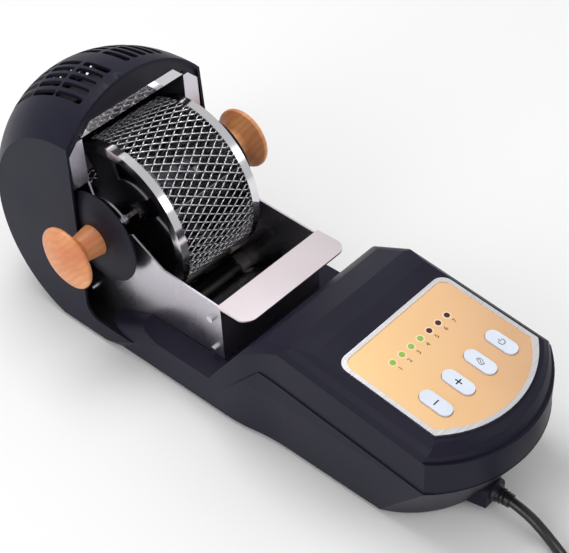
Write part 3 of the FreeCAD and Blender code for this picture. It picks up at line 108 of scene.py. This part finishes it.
# Node helpers
class Finish:
    """A material with its shader and a few short ways to feed it."""

    def __init__(self, name, color, rough, metal=0.0):
        self.material = bpy.data.materials.new(name)
        self.material.use_nodes = True
        self.nodes = self.material.node_tree.nodes
        self.links = self.material.node_tree.links
        self.shader = self.nodes["Principled BSDF"]
        self.shader.inputs["Base Color"].default_value = (*color, 1)
        self.shader.inputs["Roughness"].default_value = rough
        self.shader.inputs["Metallic"].default_value = metal
        self.place = self.nodes.new("ShaderNodeTexCoord").outputs["Object"]

    def stretched(self, scale, turn=(0, 0, 0)):
        """Object places, turned and stretched by a scale along each axis."""
        mapping = self.nodes.new("ShaderNodeMapping")
        mapping.inputs["Scale"].default_value = scale
        mapping.inputs["Rotation"].default_value = turn
        self.links.new(self.place, mapping.inputs["Vector"])
        return mapping.outputs["Vector"]

    def noise(self, scale, detail, vector=None):
        """Soft noise, its scale in cycles per metre."""
        made = self.nodes.new("ShaderNodeTexNoise")
        made.inputs["Scale"].default_value = scale
        made.inputs["Detail"].default_value = detail
        self.links.new(vector or self.place, made.inputs["Vector"])
        return made.outputs["Fac"]

    def ramp(self, source, stops):
        """Colours along a factor: stops are (position, colour)."""
        made = self.nodes.new("ShaderNodeValToRGB")
        elements = made.color_ramp.elements
        while len(elements) < len(stops):
            elements.new(0.5)
        for element, (position, color) in zip(elements, stops):
            element.position = position
            element.color = (*color, 1)
        self.links.new(source, made.inputs["Fac"])
        return made.outputs["Color"]

    def spread(self, source, low, high, start=0.3, end=0.7):
        """A factor spread over a range of values."""
        made = self.nodes.new("ShaderNodeMapRange")
        made.inputs["From Min"].default_value = start
        made.inputs["From Max"].default_value = end
        made.inputs["To Min"].default_value = low
        made.inputs["To Max"].default_value = high
        self.links.new(source, made.inputs["Value"])
        return made.outputs["Result"]

    def mix(self, factor, first, second):
        """One colour turning into another by a factor."""
        made = self.nodes.new("ShaderNodeMix")
        made.data_type = "RGBA"
        for socket, value in (("Factor", factor), ("A", first), ("B", second)):
            slot = [item for item in made.inputs if item.name == socket
                    and item.type == ("VALUE" if socket == "Factor" else "RGBA")][0]
            if isinstance(value, tuple):
                slot.default_value = (*value, 1)
            else:
                self.links.new(value, slot)
        return [item for item in made.outputs if item.type == "RGBA"][0]

    def bump(self, source, strength, depth):
        """Fine relief from a factor, its depth in metres."""
        made = self.nodes.new("ShaderNodeBump")
        made.inputs["Strength"].default_value = strength
        made.inputs["Distance"].default_value = depth
        self.links.new(source, made.inputs["Height"])
        self.links.new(made.outputs["Normal"], self.shader.inputs["Normal"])

    def feed(self, socket, source):
        """Drive one of the shader's sockets."""
        self.links.new(source, self.shader.inputs[socket])

    def dress(self, *names):
        """Give this finish to CAD nodes, in place of their own."""
        for name in names:
            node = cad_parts[name]
            node.data.materials.clear()
            node.data.materials.append(self.material)


# Finishes
BRUSH_ACROSS = 900.0
BRUSH_ALONG = 12.0

# The liner's bright strip: its lowest height, and how far back it reaches
STRIP_FOOT = 150.5 * MM
STRIP_BACK = 99.6 * MM

# The panel film's colours run across it, from its near left corner: painted light pales the gold there and
# painted shade darkens it towards the rear
FILM_TURN = math.radians(38)
FILM_START = 0.03
FILM_END = 0.16


def satin_plastic(name, dark, light, rough, grain=0.5, gloss=0.5):
    """Moulded plastic with a fine eroded grain and faint clouding."""
    finish = Finish(name, dark, rough)
    finish.shader.inputs["Specular IOR Level"].default_value = gloss
    cloud = finish.noise(28, 4)
    finish.feed("Base Color", finish.ramp(cloud, [(0.35, dark), (0.7, light)]))
    fine = finish.noise(2600, 2)
    finish.feed("Roughness", finish.spread(cloud, rough - 0.04, rough + 0.06))
    finish.bump(fine, 0.10 * grain, 0.0002)
    return finish


def brushed_metal(name, color, rough, along):
    """Sheet metal brushed in one direction: along is the axis of the fine lines."""
    finish = Finish(name, color, rough, 1.0)
    scale = [BRUSH_ACROSS] * 3
    scale["XYZ".index(along)] = BRUSH_ALONG
    lines = finish.noise(1.0, 5, finish.stretched(scale))
    smear = finish.noise(14, 3)
    shade = tuple(value * 0.86 for value in color)
    finish.feed("Base Color", finish.ramp(smear, [(0.3, shade), (0.72, color)]))
    finish.feed("Roughness", finish.spread(lines, rough - 0.05, rough + 0.08))
    finish.bump(lines, 0.05, 0.0001)
    return finish


def polished_metal(name, color, rough):
    """Bright metal with faint smears and a slight ripple."""
    finish = Finish(name, color, rough, 1.0)
    smear = finish.noise(35, 4)
    finish.feed("Roughness", finish.spread(smear, rough, rough + 0.10))
    finish.bump(finish.noise(60, 2), 0.05, 0.0002)
    return finish


def satin_steel(name, color, shade, rough):
    """Smooth cold-rolled sheet: soft clouds in its shine and no lines."""
    finish = Finish(name, color, rough, 1.0)
    cloud = finish.noise(9, 3)
    finish.feed("Base Color", finish.ramp(cloud, [(0.3, shade), (0.7, color)]))
    finish.feed("Roughness", finish.spread(finish.noise(24, 3), rough - 0.03, rough + 0.05))
    return finish


def liner_steel(name):
    """Polished sheet, darkened all over as painted shade that keeps the vents black inside, but for its
    turned-up front strip.
    """
    finish = Finish(name, (0.2, 0.2, 0.21), 0.08, 1.0)
    place = finish.nodes.new("ShaderNodeSeparateXYZ")
    finish.links.new(finish.place, place.inputs[0])
    high = finish.spread(place.outputs["Z"], 0, 1, STRIP_FOOT, STRIP_FOOT + MM)
    front = finish.spread(place.outputs["Y"], 1, 0, STRIP_BACK, STRIP_BACK + MM)
    both = finish.nodes.new("ShaderNodeMath")
    both.operation = "MULTIPLY"
    finish.links.new(high, both.inputs[0])
    finish.links.new(front, both.inputs[1])
    # painted shade: the steel's colour darkened so the vents and chamber read black inside
    painted_shade = finish.ramp(finish.noise(16, 3), [(0.3, (0.13, 0.125, 0.13)),
                                             (0.7, (0.21, 0.205, 0.215))])
    finish.feed("Base Color", finish.mix(both.outputs[0], painted_shade, (0.66, 0.64, 0.67)))
    finish.feed("Roughness", finish.spread(finish.noise(35, 4), 0.05, 0.12))
    return finish


def beech(name):
    """Oiled beech with its grain along the knob's axis, fine flecks and faint rings."""
    finish = Finish(name, (0.62, 0.25, 0.10), 0.42)
    drift = finish.noise(1.0, 2, finish.stretched((14, 34, 34)))
    rings = finish.nodes.new("ShaderNodeTexWave")
    rings.wave_type = "RINGS"
    rings.rings_direction = "X"
    rings.inputs["Scale"].default_value = 70
    rings.inputs["Distortion"].default_value = 7
    rings.inputs["Detail"].default_value = 2
    rings.inputs["Detail Scale"].default_value = 0.7
    finish.links.new(finish.stretched((0.35, 1, 1), (0, 0.5, 0.35)), rings.inputs["Vector"])
    flecks = finish.noise(1.0, 4, finish.stretched((160, 2400, 2400)))
    base = finish.ramp(drift, [(0.34, (0.68, 0.225, 0.085)), (0.66, (0.86, 0.40, 0.165))])
    ring_share = finish.spread(rings.outputs["Fac"], 0.0, 0.30, 0.3, 0.95)
    ringed = finish.mix(ring_share, base, (0.56, 0.19, 0.065))
    fleck_share = finish.spread(flecks, 0.0, 0.35, 0.56, 0.72)
    finish.feed("Base Color", finish.mix(fleck_share, ringed, (0.40, 0.13, 0.045)))
    finish.feed("Roughness", finish.spread(drift, 0.36, 0.5))
    finish.bump(flecks, 0.25, 0.00012)
    finish.shader.inputs["Coat Weight"].default_value = 0.12
    finish.shader.inputs["Coat Roughness"].default_value = 0.3
    return finish


def gilt_film(name):
    """The panel's printed film: warm gold, with painted light paling it towards its near left corner and
    painted shade darkening it towards the rear.
    """
    finish = Finish(name, (0.90, 0.60, 0.30), 0.36, 0.35)
    gradient = finish.nodes.new("ShaderNodeSeparateXYZ")
    turned = finish.stretched((1, 1, 1), (0, 0, FILM_TURN))
    finish.links.new(turned, gradient.inputs[0])
    across = finish.spread(gradient.outputs["X"], 0, 1, FILM_START, FILM_END)
    # painted light and shade: paler gold at the near left corner, darker tan towards the rear
    painted_light_tone = finish.ramp(across, [(0.0, (0.98, 0.66, 0.31)), (0.55, (0.88, 0.53, 0.27)),
                                (1.0, (0.66, 0.40, 0.24))])
    cloud = finish.noise(22, 3)
    finish.feed("Base Color", finish.mix(finish.spread(cloud, 0, 0.25), painted_light_tone, (0.98, 0.70, 0.42)))
    finish.bump(finish.noise(2200, 2), 0.04, 0.0001)
    return finish


def rubbery(name, color, rough):
    """Rubber, ceramic or fabric: an even colour with a mottled sheen and a fine grain."""
    finish = Finish(name, color, rough)
    finish.feed("Roughness", finish.spread(finish.noise(180, 3), rough - 0.06, rough + 0.08))
    finish.bump(finish.noise(3200, 2), 0.08, 0.0001)
    return finish


def glowing(name, color, strength):
    """A lit lens, a little uneven in its colour."""
    finish = Finish(name, color, 0.2)
    finish.shader.inputs["Emission Color"].default_value = (*color, 1)
    finish.shader.inputs["Emission Strength"].default_value = strength
    lighter = tuple(min(1, value * 1.25) for value in color)
    finish.feed("Base Color", finish.ramp(finish.noise(900, 2), [(0.3, color), (0.7, lighter)]))
    return finish


def dress_frame():
    """Finishes for all the CAD nodes."""
    navy, navy_light = (0.0115, 0.0110, 0.0230), (0.0145, 0.0140, 0.0280)
    satin_plastic("casing_satin", navy, navy_light, 0.40, 0.5, 0.13).dress("outer_shell", "deck_casing")
    satin_plastic("disc_satin", (0.010, 0.010, 0.019), (0.013, 0.013, 0.023), 0.45, 0.8, 0.2).dress(
        "hub_disc_left", "hub_disc_right")
    satin_plastic("black_plastic", (0.008, 0.008, 0.009), (0.014, 0.014, 0.016), 0.5, 0.8).dress(
        "bottom_cover", "fan_frame", "fan_impeller", "power_module", "button_switches", "board_posts",
        "drum_gear")
    satin_plastic("pale_plastic", (0.62, 0.60, 0.54), (0.70, 0.68, 0.62), 0.4, 0.6).dress(
        "idler_gear", "motor_pinion")
    satin_plastic("bulkhead_paint", (0.009, 0.009, 0.016), (0.013, 0.013, 0.022), 0.42, 0.8, 0.25).dress(
        "hood_bulkhead")
    satin_plastic("board_green", (0.01, 0.09, 0.03), (0.02, 0.13, 0.05), 0.35, 0.5).dress("control_board")
    satin_steel("plate_steel", (0.74, 0.71, 0.77), (0.66, 0.63, 0.69), 0.27).dress(
        "side_plate_left", "side_plate_right", "fan_plate")
    satin_steel("lip_steel", (0.74, 0.67, 0.69), (0.70, 0.63, 0.66), 0.36).dress("lip_plate")
    liner_steel("liner_steel").dress("chamber_liner")
    # mirror_steel: polished steel darker than bright_steel, a painted dark reflection on the drum ends and
    # shutter
    polished_metal("mirror_steel", (0.50, 0.49, 0.52), 0.05).dress(
        "drum_end_left", "drum_end_right", "drum_shutter")
    brushed_metal("vane_steel", (0.20, 0.19, 0.20), 0.35, "X").dress("drum_vanes")
    polished_metal("bright_steel", (0.80, 0.79, 0.82), 0.08).dress(
        "drum_ring_left", "drum_ring_right", "axle_left", "axle_right", "chamber_screws",
        "temperature_probe", "idler_pin", "motor_shaft")
    brushed_metal("motor_steel", (0.55, 0.55, 0.57), 0.35, "X").dress("gear_motor")
    brushed_metal("heater_steel", (0.30, 0.28, 0.27), 0.5, "X").dress("heater_tubes")
    brushed_metal("bush_bronze", (0.52, 0.47, 0.42), 0.25, "X").dress("bush_left", "bush_right")
    rubbery("ceramic", (0.75, 0.72, 0.66), 0.6).dress("heater_holders")
    rubbery("foot_rubber", (0.012, 0.012, 0.012), 0.7).dress("rubber_feet")
    rubbery("lead_black", (0.010, 0.010, 0.013), 0.34).dress("strain_relief")
    rubbery("plug_black", (0.010, 0.010, 0.012), 0.45).dress("power_plug")
    polished_metal("blade_brass", (0.80, 0.62, 0.32), 0.22).dress("plug_blades")
    beech("beech_oiled").dress("knob_left", "knob_right")
    brushed_metal("rim_silver", (0.88, 0.87, 0.90), 0.30, "X").dress("panel_bezel")
    gilt_film("gilt_film").dress("panel_plate")
    glowing("light_green", (0.22, 0.42, 0.05), 0.12).dress("level_lights_lit")
    satin_plastic("light_dark", (0.055, 0.008, 0.016), (0.10, 0.015, 0.03), 0.2, 0.3).dress(
        "level_lights_dark")
    satin_plastic("button_pearl", (0.70, 0.76, 0.88), (0.80, 0.86, 0.97), 0.28, 0.4).dress(
        "button_minus", "button_plus", "button_roast", "button_power")


# The drum's wire mesh
WIRE_AROUND = 56
WIRE_ROWS = 6
WIRE_WIDE = 1.0 * MM
WIRE_THICK = 0.9 * MM
WIRE_INSET = 0.2 * MM


def wire_drum():
    """Expanded metal rolled into the drum: bars between the points of a staggered lattice."""
    low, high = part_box("drum_mesh")
    axle = Vector([(below + above) / 2 for below, above in zip(low, high)])
    radius = (high[2] - low[2]) / 2 - WIRE_THICK / 2
    half = (high[0] - low[0]) / 2 - WIRE_INSET
    steps = WIRE_ROWS * 2
    made = bmesh.new()

    def spot(row, index):
        angle = 2 * math.pi * (index + (row % 2) / 2) / WIRE_AROUND
        across = half * (2 * row / steps - 1)
        return axle + Vector((across, radius * math.cos(angle), radius * math.sin(angle)))

    def bar(start, end):
        along = (end - start).normalized()
        out = (start + end) / 2 - axle
        out.x = 0
        out.normalize()
        side = along.cross(out) * (WIRE_WIDE / 2)
        rise = out * (WIRE_THICK / 2)
        near, far = [[made.verts.new(point + shift) for shift in (side, rise, -side, -rise)]
                     for point in (start, end)]
        bridge(made, near, far)
        made.faces.new(near[::-1])
        made.faces.new(far)

    for row in range(steps):
        lean = -1 if row % 2 == 0 else 1
        for index in range(WIRE_AROUND):
            bar(spot(row, index), spot(row + 1, index))
            bar(spot(row, index), spot(row + 1, index + lean))
    piece = smooth_piece("wire_drum", made)
    piece.data.materials.append(polished_metal("wire_steel", (0.82, 0.81, 0.84), 0.16).material)
    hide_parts("drum_mesh")
    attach(piece, "drum")


# The panel's printed marks
PANEL_TILT = math.radians(8)
PANEL_MIDDLE = Vector((0, -0.154, 0.0864))
LIGHT_COUNT = 7
LIGHT_PITCH = 8.4 * MM
LIGHT_ROW = 21.5 * MM
HALO_OUTER = 2.75 * MM
HALO_INNER = 1.85 * MM
DIGIT_ROW = 15.6 * MM
DIGIT_HEIGHT = 4.2 * MM
BUTTON_PITCH = 20.6 * MM
BUTTON_ROW = -14 * MM
BUTTON_TOP = 1.2 * MM
INK_LIFT = 0.04 * MM
INK_THICK = 0.02 * MM

# The button marks: half widths, bean outlines as length, width and bend, and the ring's gap in degrees
MARK_LINE = 0.42 * MM
MINUS_HALF = 2.3 * MM
PLUS_HALF = 2.4 * MM
BEAN_EDGE = (5.6 * MM, 3.4 * MM, 0.5 * MM)
BEAN_INSIDE = (4.9 * MM, 2.7 * MM, 0.5 * MM)
BEAN_CREASE = (4.6 * MM, 0.45 * MM, 0.7 * MM)
POWER_RADIUS = 1.75 * MM
POWER_WIDTH = 0.45 * MM
POWER_GAP = 70
STEM_LINE = MARK_LINE / 1.8
STEM_HALF = 1.1 * MM
STEM_MIDDLE = 1.6 * MM
CIRCLE_POINTS = 40
BEAN_POINTS = 36
POWER_STEPS = 30


def on_panel(obj, across, along, lift):
    """Lay a flat piece on the panel's tilted plane."""
    turn = Matrix.Rotation(PANEL_TILT, 4, "X")
    obj.matrix_world = Matrix.Translation(PANEL_MIDDLE) @ turn @ Matrix.Translation((across, along, lift))
    return obj


def light_across(index):
    """Where a level light stands across the panel."""
    return LIGHT_PITCH * (index - (LIGHT_COUNT - 1) / 2)


def ink(name, color=(0.012, 0.012, 0.014)):
    """Printing ink with a slightly uneven sheen."""
    finish = Finish(name, color, 0.5)
    finish.feed("Roughness", finish.spread(finish.noise(1500, 2), 0.42, 0.6))
    return finish.material


def flat_piece(name, outlines, material):
    """A thin printed mark from closed outlines; a second outline inside the first is a hole."""
    data = bpy.data.curves.new(name, "CURVE")
    data.dimensions = "2D"
    data.fill_mode = "BOTH"
    data.extrude = INK_THICK
    for points in outlines:
        spline = data.splines.new("POLY")
        spline.points.add(len(points) - 1)
        for spot, (across, along) in zip(spline.points, points):
            spot.co = (across, along, 0, 1)
        spline.use_cyclic_u = True
    data.materials.append(material)
    return link(bpy.data.objects.new(name, data))


def circle(radius):
    """A circle's outline round the mark's middle."""
    return [(radius * math.cos(2 * math.pi * index / CIRCLE_POINTS),
             radius * math.sin(2 * math.pi * index / CIRCLE_POINTS)) for index in range(CIRCLE_POINTS)]


def bar_outline(half_wide, half_long, middle=0):
    """An upright bar, its middle raised by a distance."""
    return [(-half_wide, -half_long + middle), (half_wide, -half_long + middle),
            (half_wide, half_long + middle), (-half_wide, half_long + middle)]


def bean_outline(length, width, shift):
    """A bean's outline, or its crease where shift bends a narrow one."""
    points = []
    for index in range(BEAN_POINTS):
        angle = 2 * math.pi * index / BEAN_POINTS
        along, across = length / 2 * math.cos(angle), width / 2 * math.sin(angle)
        points.append((across + shift * math.sin(math.pi * along / length * 2), along))
    return points


def power_outline():
    """An open ring with its gap at the top."""
    start, sweep = 90 + POWER_GAP / 2, 360 - POWER_GAP
    angles = [math.radians(start + sweep * index / POWER_STEPS) for index in range(POWER_STEPS + 1)]
    reach = POWER_RADIUS + POWER_WIDTH
    outer = [(reach * math.cos(angle), reach * math.sin(angle)) for angle in angles]
    inner = [(POWER_RADIUS * math.cos(angle), POWER_RADIUS * math.sin(angle)) for angle in reversed(angles)]
    return outer + inner


def digits():
    """The level numbers, one under each light."""
    black = ink("digit_ink", (0.03, 0.022, 0.018))
    for index in range(LIGHT_COUNT):
        data = bpy.data.curves.new("digit_%d" % (index + 1), "FONT")
        data.body = str(index + 1)
        data.size = DIGIT_HEIGHT
        data.align_x = "CENTER"
        data.align_y = "CENTER"
        data.extrude = INK_THICK
        data.materials.append(black)
        digit = link(bpy.data.objects.new(data.name, data))
        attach(on_panel(digit, light_across(index), DIGIT_ROW, INK_LIFT), "housing")


def halos():
    """The pale printed ring round each level light."""
    cream = ink("halo_cream", (0.93, 0.72, 0.50))
    for index in range(LIGHT_COUNT):
        piece = flat_piece("halo_%d" % (index + 1), [circle(HALO_OUTER), circle(HALO_INNER)], cream)
        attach(on_panel(piece, light_across(index), LIGHT_ROW, INK_LIFT / 2), "housing")


def button_marks():
    """The marks on the four buttons; each mark has parts, and each part its outlines."""
    black = ink("mark_ink")
    marks = {
        "minus": [[bar_outline(MINUS_HALF, MARK_LINE)]],
        "plus": [[bar_outline(PLUS_HALF, MARK_LINE)], [bar_outline(MARK_LINE, PLUS_HALF)]],
        "roast": [[bean_outline(*BEAN_EDGE), bean_outline(*BEAN_INSIDE)], [bean_outline(*BEAN_CREASE)]],
        "power": [[power_outline()], [bar_outline(STEM_LINE, STEM_HALF, STEM_MIDDLE)]],
    }
    for index, (name, parts) in enumerate(marks.items()):
        across = BUTTON_PITCH * (index - (len(marks) - 1) / 2)
        for number, part in enumerate(parts):
            piece = flat_piece("mark_%s_%d" % (name, number), part, black)
            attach(on_panel(piece, across, BUTTON_ROW, BUTTON_TOP + INK_LIFT), "key_" + name)


# Mains lead: the route's points and the coil follow the frame's solids
LEAD_DIAMETER = 6.5 * MM
LEAD_EXIT = (-0.008, -0.208, 0.0095)
LEAD_ROUTE = [LEAD_EXIT, (-0.0086, -0.220, 0.0085), (-0.0112, -0.233, 0.0056), (-0.0158, -0.247, 0.0035),
              (-0.02181, -0.26059, 0.0033), (-0.02694, -0.27468, 0.0033)]
COIL_CENTRE = Vector((0.012, -0.297, 0))
COIL_INNER = 27.7 * MM
COIL_STEP = 7.25 * MM
COIL_REST = 3.3 * MM
COIL_ENTRY = math.radians(160)
COIL_TURNS = 4
LEAD_END = 20.5 * MM
POINTS_PER_TURN = 16

# Half turns of the spiral from its innermost point out to the lead's entry
COIL_ENTRY_REACH = 4.56

# The strap round the coil: its size, the room it leaves, and how many turns it spans
TIE_HALF_WIDE = 5 * MM
TIE_THICK = 0.9 * MM
TIE_CORNER = 2.5 * MM
TIE_ROOM_ABOVE = 0.3 * MM
TIE_ROOM_INSIDE = 0.8 * MM
TIE_ROOM_OUTSIDE = 0.6 * MM
TIE_SPAN = 2.35
TIE_FLOOR = 0.05 * MM
TIE_ANGLE = math.radians(-75)
TIE_CORNER_STEPS = 5


def coil_points():
    """A spiral wound in on the table and out again on top, climbing where it reverses."""
    rate = COIL_STEP / (2 * math.pi)
    lean = math.atan2(rate, COIL_INNER + rate * math.pi * COIL_ENTRY_REACH)
    first = COIL_ENTRY - lean
    total = 2 * math.pi * (COIL_TURNS + 1) - first + lean
    count = int(total / (2 * math.pi) * POINTS_PER_TURN)
    points = []
    for index in range(count + 1):
        turned_by = total * index / count
        inward = turned_by - total / 2
        steady = abs(inward) >= math.pi / 2
        growth = abs(inward) if steady else inward * inward / math.pi + math.pi / 4
        radius = COIL_INNER + rate * growth
        climb = math.copysign(1, inward) if steady else math.sin(inward)
        angle = first + turned_by
        points.append(COIL_CENTRE + Vector((radius * math.cos(angle), radius * math.sin(angle),
                                            COIL_REST + COIL_STEP * (climb + 1) / 2)))
    leaving = Vector((0, 1, 0))
    points += [points[-1] + leaving * LEAD_END / 2, points[-1] + leaving * LEAD_END]
    return points


def mains_lead():
    """The whole lead as one smooth curve, from the strain relief through the coil to the plug."""
    data = bpy.data.curves.new("mains_lead", "CURVE")
    data.dimensions = "3D"
    data.bevel_depth = LEAD_DIAMETER / 2
    data.bevel_resolution = 6
    data.resolution_u = 8
    data.use_fill_caps = True
    spline = data.splines.new("NURBS")
    points = [Vector(point) for point in LEAD_ROUTE] + coil_points()
    spline.points.add(len(points) - 1)
    for spot, point in zip(spline.points, points):
        spot.co = (*point, 1)
    spline.order_u = 3
    spline.use_endpoint_u = True
    data.materials.append(rubbery("lead_sheath", (0.010, 0.010, 0.013), 0.28).material)
    lead = link(bpy.data.objects.new("mains_lead", data))
    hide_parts("power_cord", "cord_coil")
    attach(lead, "housing")
    tie = coil_tie()


def tie_path():
    """The strap's inner face in section: a rounded frame round the bundle, as reach and height."""
    top = COIL_REST + COIL_STEP + LEAD_DIAMETER / 2 + TIE_ROOM_ABOVE
    inner = COIL_INNER - LEAD_DIAMETER / 2 - TIE_ROOM_INSIDE
    outer = COIL_INNER + COIL_STEP * TIE_SPAN + LEAD_DIAMETER / 2 + TIE_ROOM_OUTSIDE
    low, high = TIE_CORNER, top - TIE_CORNER
    near, far = inner + TIE_CORNER, outer - TIE_CORNER
    path = []
    for reach, height, start in ((far, low, -90), (far, high, 0), (near, high, 90), (near, low, 180)):
        for index in range(TIE_CORNER_STEPS + 1):
            angle = math.radians(start + 90 / TIE_CORNER_STEPS * index)
            path.append((reach + TIE_CORNER * math.cos(angle), height + TIE_CORNER * math.sin(angle)))
    return path


def coil_tie():
    """A hook-and-loop strap round the bundle of turns."""
    made = bmesh.new()
    path = tie_path()
    rings = []
    for index, (reach, height) in enumerate(path):
        before, after = path[index - 1], path[(index + 1) % len(path)]
        along = Vector((after[0] - before[0], after[1] - before[1])).normalized()
        out = Vector((along.y, -along.x)) * TIE_THICK
        ring = []
        for shift, side in ((0, -1), (1, -1), (1, 1), (0, 1)):
            place = Vector((reach, height)) + out * shift
            ring.append(made.verts.new((place.x, TIE_HALF_WIDE * side, max(place.y, TIE_FLOOR))))
        rings.append(ring)
    for index, ring in enumerate(rings):
        bridge(made, ring, rings[(index + 1) % len(rings)])
    tie = smooth_piece("coil_tie", made)
    tie.matrix_world = Matrix.Translation(COIL_CENTRE) @ Matrix.Rotation(TIE_ANGLE, 4, "Z")
    tie.data.materials.append(rubbery("tie_fabric", (0.02, 0.02, 0.024), 0.8).material)
    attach(tie, "housing")
    return tie


# Studio
FLOOR_REACH = 6.0
FLOOR_HEIGHT = -0.0004
WORLD_STRENGTH = 0.60
LAMP_TARGET = (0, 0, 0.08)

# Each lamp's name, place, size and power in watts
LAMPS = [
    ("light_top", (0.1, 0.5, 1.4), (1.0, 0.6), 9),
    ("light_left", (-1.3, 0.1, 0.7), (0.5, 1.0), 5),
    ("light_front", (0.6, -1.3, 0.9), (0.9, 0.5), 3),
]


def area_light(name, place, size, power):
    """A soft rectangular lamp turned towards the roaster."""
    data = bpy.data.lights.new(name, "AREA")
    data.shape = "RECTANGLE"
    data.size, data.size_y = size
    data.energy = power
    lamp = link(bpy.data.objects.new(name, data))
    direction = Vector(LAMP_TARGET) - Vector(place)
    lamp.matrix_world = (Matrix.Translation(place)
                         @ direction.to_track_quat("-Z", "Y").to_matrix().to_4x4())


def studio():
    """A white floor and world, with soft lights above, to the left and in front."""
    world = bpy.data.worlds.new("studio")
    world.use_nodes = True
    world.node_tree.nodes["Background"].inputs["Color"].default_value = (1.0, 1.0, 1.0, 1)
    world.node_tree.nodes["Background"].inputs["Strength"].default_value = WORLD_STRENGTH
    bpy.context.scene.world = world
    data = bpy.data.meshes.new("studio_floor")
    corners = [(FLOOR_REACH * across, FLOOR_REACH * along, FLOOR_HEIGHT)
               for across, along in ((-1, -1), (1, -1), (1, 1), (-1, 1))]
    data.from_pydata(corners, [], [(0, 1, 2, 3)])
    floor = link(bpy.data.objects.new("studio_floor", data))
    paper = Finish("studio_paper", (0.92, 0.92, 0.92), 0.9)
    paper.feed("Roughness", paper.spread(paper.noise(3, 2), 0.85, 0.95))
    floor.data.materials.append(paper.material)
    for name, place, size, power in LAMPS:
        area_light(name, place, size, power)
    scene = bpy.context.scene
    scene.view_settings.view_transform = "Standard"
    scene.view_settings.look = "None"
    scene.view_settings.exposure = 0.0


add_camera()
mains_lead()
dress_frame()
wire_drum()
halos()
digits()
button_marks()
studio()
